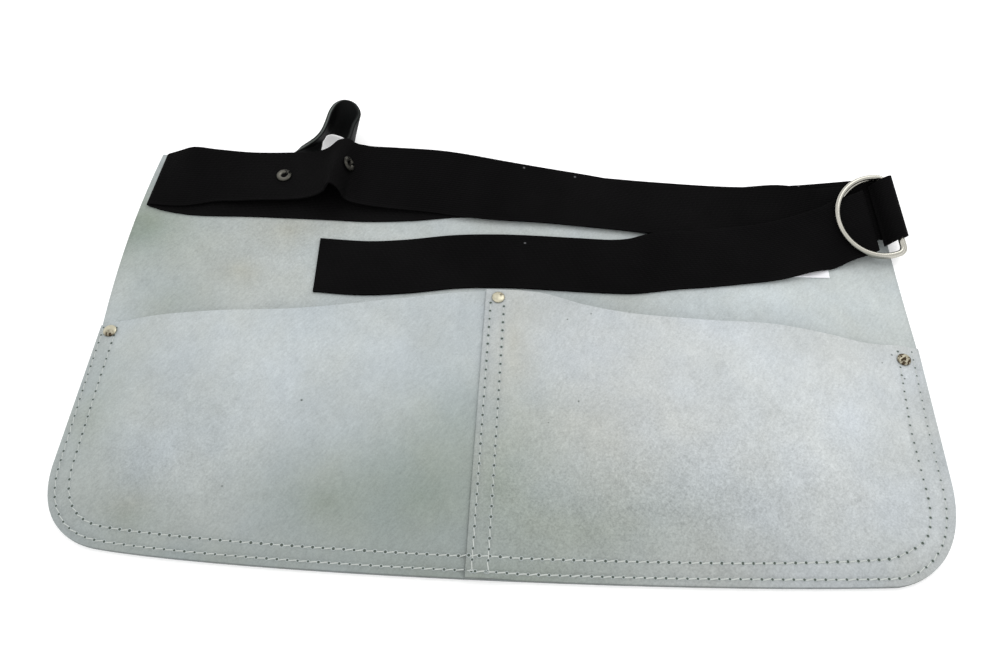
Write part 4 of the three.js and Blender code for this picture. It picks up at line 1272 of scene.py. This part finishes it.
def stitch_rows(sizes):
    """Plan line, pitch and size of the needle holes of every row of stitches."""
    outline = at_shares(sewn_outline(), np.linspace(0, 1, ROW_POINTS))
    on_left = outline[:, 0] < 0
    rows = []
    for k, distance in enumerate((sizes.outer_row / MM, sizes.inner_row / MM)):
        farther = [
            np.interp(outline[:, 1], *np.array(table, float)[:, [0, k + 1]].T)
            for table in (ROWS_LEFT, ROWS_RIGHT)]
        line = inset(outline, (distance + np.where(on_left, *farther))[:, None])
        line = line[line[:, 1] < np.where(line[:, 0] < 0, ROW_TOPS_LEFT[k], ROW_TOPS_RIGHT[k])]
        rows.append((line, sizes.stitch_pitch, HOLE_SIZES[k]))
    hem = rows[0][0]
    for x, top in SEAM_ROWS:
        foot = np.interp(x, hem[:, 0], hem[:, 1])
        rows.append((np.array(((x, top), (x, foot))), sizes.seam_pitch, HOLE_SIZES[2]))
    return rows


# Needle holes lie this far above the leather, in metres, and differ in size within these bounds
HOLE_LIFT, HOLE_SPREAD = 0.00003, (0.86, 1.08)
# Farther than this from the seam the holes are smaller, by a share at the right and at the left that
# grows between two heights
SIDE_X, WORN_RIGHT, WORN_LEFT, WORN_HEIGHTS = 150, 0.32, 0.15, (30, 100)
# Stitches sink into the leather above the hem, and stand prouder toward the right: heights, then places
SUNK_HEIGHTS, PROUD_PLACES = (16, 40), (-180, 120)
# A stitch as shares of the pitch and the thread's radius: half its reach, the sink of its ends, its rise
STITCH_REACH, STITCH_SINK, STITCH_RISE = 0.42, -0.6, 1.1
# Length, width and height of a stitch, how much less of each when sunk, how much more when proud
GIRTH, GIRTH_SUNK, GIRTH_PROUD = np.array(((0.92, 0.95, 0.6), (0.1, 0.3, 0.36), (0, 0.4, 0.4)))
# Least and most that a stitch slants, in radians
SLANT = (0.06, 0.22)
# Spans along a stitch, sides of its thread, sides of a needle hole
STITCH_SPANS, THREAD_SIDES, HOLE_SIDES = 6, 6, 9
# Fixed seeds for the size of the holes and the slant of the stitches
HOLE_SEED, SLANT_SEED = 11, 7
# Height from which points are dropped on the leather
DROP_HEIGHT = 200.0
# Half section of a needle hole: radius as a share of the hole's, height, how much painted shade it gets,
# most inside the hole
HOLE_SECTION = [
    (0, -0.02, 0), (1.5, -0.02, 0), (1.15, 0.1, 0.15), (1, 0.09, 0.55), (0.75, 0.04, 0.9), (0, 0.03, 1),
]


class APRON_OT_stitching(bpy.types.Operator):
    """Sew the fronts down: thread from needle hole to needle hole along the edges and the centre seam"""
    bl_idname = "apron.stitching"
    bl_label = "Stitching"

    def execute(self, context):
        sizes = context.scene.apron_sizes
        surface = leather_surface()
        chance = np.random.default_rng(HOLE_SEED)

        def dropped(x, y):
            place = in_frame((x, y, DROP_HEIGHT))
            spot, normal, _, _ = surface.ray_cast(Vector(place), Vector((0, 0, -1)))
            if spot is None:
                raise RuntimeError(f"no leather under a stitch at {x:.1f}, {y:.1f}")
            return np.array(spot), np.array(normal if normal.z > 0 else -normal)

        def on_plan(spot):
            return spot[:2] / MM - SEAM_FOOT[:2]

        holes, hole_axes, widths, middles, alongs, ups, girths = [], [], [], [], [], [], []
        for row, pitch, hole in stitch_rows(sizes):
            count = max(2, round(length_along(row)[-1] * MM / pitch))
            here = [dropped(*place) for place in at_shares(row, np.linspace(0, 1, count + 1))]
            for spot, normal in here:
                holes.append(spot + normal * HOLE_LIFT)
                hole_axes.append(normal)
                x, y = on_plan(spot)
                side = WORN_RIGHT if x > SIDE_X else WORN_LEFT if x < -SIDE_X else 0
                width = hole * (1 - smooth_step(y, *WORN_HEIGHTS) * side) * chance.uniform(*HOLE_SPREAD)
                widths.append((width, width, 1.0))
            for (first, up), (second, other) in zip(here[:-1], here[1:]):
                middles.append((first + second) / 2)
                alongs.append(second - first)
                ups.append(up + other)
                x, y = on_plan(middles[-1])
                sunk = smooth_step(y, *SUNK_HEIGHTS)
                proud = smooth_step(x, *PROUD_PLACES) * (1 - sunk)
                girths.append(GIRTH - GIRTH_SUNK * sunk + GIRTH_PROUD * proud)

        thread = thread_finish()
        tree = Growth(
            "sew_stitches", Pitch="NodeSocketFloat", Thread="NodeSocketFloat", Finish="NodeSocketMaterial")
        reach = tree.given["Pitch"] * STITCH_REACH
        sink = tree.given["Thread"] * STITCH_SINK
        rise = tree.given["Thread"] * STITCH_RISE

        def at(x, z):
            return tree.node("ShaderNodeCombineXYZ", {}, {"X": x, "Z": z})

        arc = tree.node("GeometryNodeCurveQuadraticBezier", {}, {
            "Resolution": STITCH_SPANS, "Start": at(0.0 - reach, sink), "Middle": at(0.0, rise),
            "End": at(reach, sink)})
        gauge = tree.node("GeometryNodeCurvePrimitiveCircle", {"mode": "RADIUS"}, {
            "Resolution": THREAD_SIDES, "Radius": tree.given["Thread"]})
        strand = tree.node("GeometryNodeCurveToMesh", {}, {
            "Curve": arc, "Profile Curve": gauge, "Fill Caps": True})
        turn = tree.node("FunctionNodeAxesToRotation", {"primary_axis": "X", "secondary_axis": "Z"}, {
            "Primary Axis": tree.vector("along"), "Secondary Axis": tree.vector("up")})
        swing = tree.node("FunctionNodeRandomValue", {"data_type": "FLOAT"}, {
            "Min": SLANT[0], "Max": SLANT[1], "Seed": SLANT_SEED}, out=1)
        slant = tree.node("FunctionNodeEulerToRotation", {}, {
            0: tree.node("ShaderNodeCombineXYZ", {}, {"Z": swing})})
        slanted = tree.node("FunctionNodeRotateRotation", {"rotation_space": "LOCAL"}, {0: turn, 1: slant})
        copies = tree.node("GeometryNodeInstanceOnPoints", {}, {
            "Points": tree.given["Geometry"], "Instance": strand, "Rotation": slanted,
            "Scale": tree.vector("girth")})
        tree.close(copies, tree.given["Finish"])
        host = host_of("stitch_points", middles, along=alongs, up=ups, girth=girths)
        piece = tree.grow(
            "thread_stitches", host, Pitch=sizes.stitch_pitch, Thread=sizes.thread_radius, Finish=thread)
        settle(piece, "split_leather")

        radius = sizes.hole_radius / MM
        leather = needle_hole_finish()
        profile = [(share * radius, height) for share, height, _ in HOLE_SECTION]
        marks = [deep for _, _, deep in HOLE_SECTION]
        pattern = turned("needle_hole_pattern", profile, HOLE_SIDES, leather, marks)
        piece = planted("needle_holes", pattern, holes, hole_axes, leather, widths)
        settle(piece, "split_leather")
        return {"FINISHED"}


class APRON_OT_stage(bpy.types.Operator):
    """Set the pale floor, the soft lights and the camera"""
    bl_idname = "apron.stage"
    bl_label = "Stage"

    def execute(self, context):
        scene = context.scene
        camera = bpy.data.objects.new("camera", bpy.data.cameras.new("camera"))
        camera.data.sensor_fit, camera.data.sensor_width = "HORIZONTAL", SENSOR_WIDTH
        camera.data.lens = CAMERA["lens"]
        camera.data.clip_start, camera.data.clip_end = NEAREST, FARTHEST
        camera.location = in_frame(CAMERA["place"])
        camera.rotation_euler = (math.radians(90 - CAMERA["down"]), 0, CAMERA["turn"])
        scene.collection.objects.link(camera)
        scene.camera = camera

        mesh = bpy.data.meshes.new("floor")
        corners = ((-1, -1), (1, -1), (1, 1), (-1, 1))
        points = [(x * FLOOR_HALF, y * FLOOR_HALF, -FLOOR_DROP) for x, y in corners]
        mesh.from_pydata(points, [], [(0, 1, 2, 3)])
        mesh.materials.append(floor_finish())
        floor = bpy.data.objects.new("floor", mesh)
        scene.collection.objects.link(floor)

        for name, (place, size, energy, aim) in LIGHTS.items():
            lamp = bpy.data.lights.new(name, "AREA")
            lamp.shape, lamp.size, lamp.energy = "DISK", size, energy
            light = bpy.data.objects.new(name, lamp)
            light.location = place
            light.rotation_euler = (Vector(aim) - Vector(place)).to_track_quat("-Z", "Y").to_euler()
            scene.collection.objects.link(light)

        world = bpy.data.worlds.new("studio")
        world.use_nodes = True
        sky = world.node_tree.nodes["Background"]
        sky.inputs["Color"].default_value = (1.0, 1.0, 1.0, 1.0)
        sky.inputs["Strength"].default_value = SKY_STRENGTH
        scene.world = world
        scene.view_settings.view_transform = "Standard"
        return {"FINISHED"}


OPERATORS = (
    APRON_OT_stage, APRON_OT_back_panel, APRON_OT_pocket_fronts, APRON_OT_belt, APRON_OT_hammer_loop,
    APRON_OT_rings, APRON_OT_rivets, APRON_OT_label, APRON_OT_stitching,
)


class APRON_PT_sidebar(bpy.types.Panel):
    """Steps that make the apron, in order"""
    bl_idname = "APRON_PT_sidebar"
    bl_label = "Nail apron"
    bl_space_type = "VIEW_3D"
    bl_region_type = "UI"
    bl_category = "Apron"

    def draw(self, context):
        for group in (context.scene.apron_sizes, context.scene.apron_colours):
            box = self.layout.box()
            for title in group.__annotations__:
                box.prop(group, title)
        for step in OPERATORS:
            self.layout.operator(step.bl_idname)


CLASSES = (ApronSizes, ApronColours, *OPERATORS, APRON_PT_sidebar)


def register():
    for item in CLASSES:
        bpy.utils.register_class(item)
    bpy.types.Scene.apron_sizes = PointerProperty(type=ApronSizes)
    bpy.types.Scene.apron_colours = PointerProperty(type=ApronColours)


def unregister():
    del bpy.types.Scene.apron_colours
    del bpy.types.Scene.apron_sizes
    for item in reversed(CLASSES):
        bpy.utils.unregister_class(item)


def main():
    register()
    for step in OPERATORS:
        group, name = step.bl_idname.split(".")
        getattr(getattr(bpy.ops, group), name)()


if __name__ == "__main__":
    main()
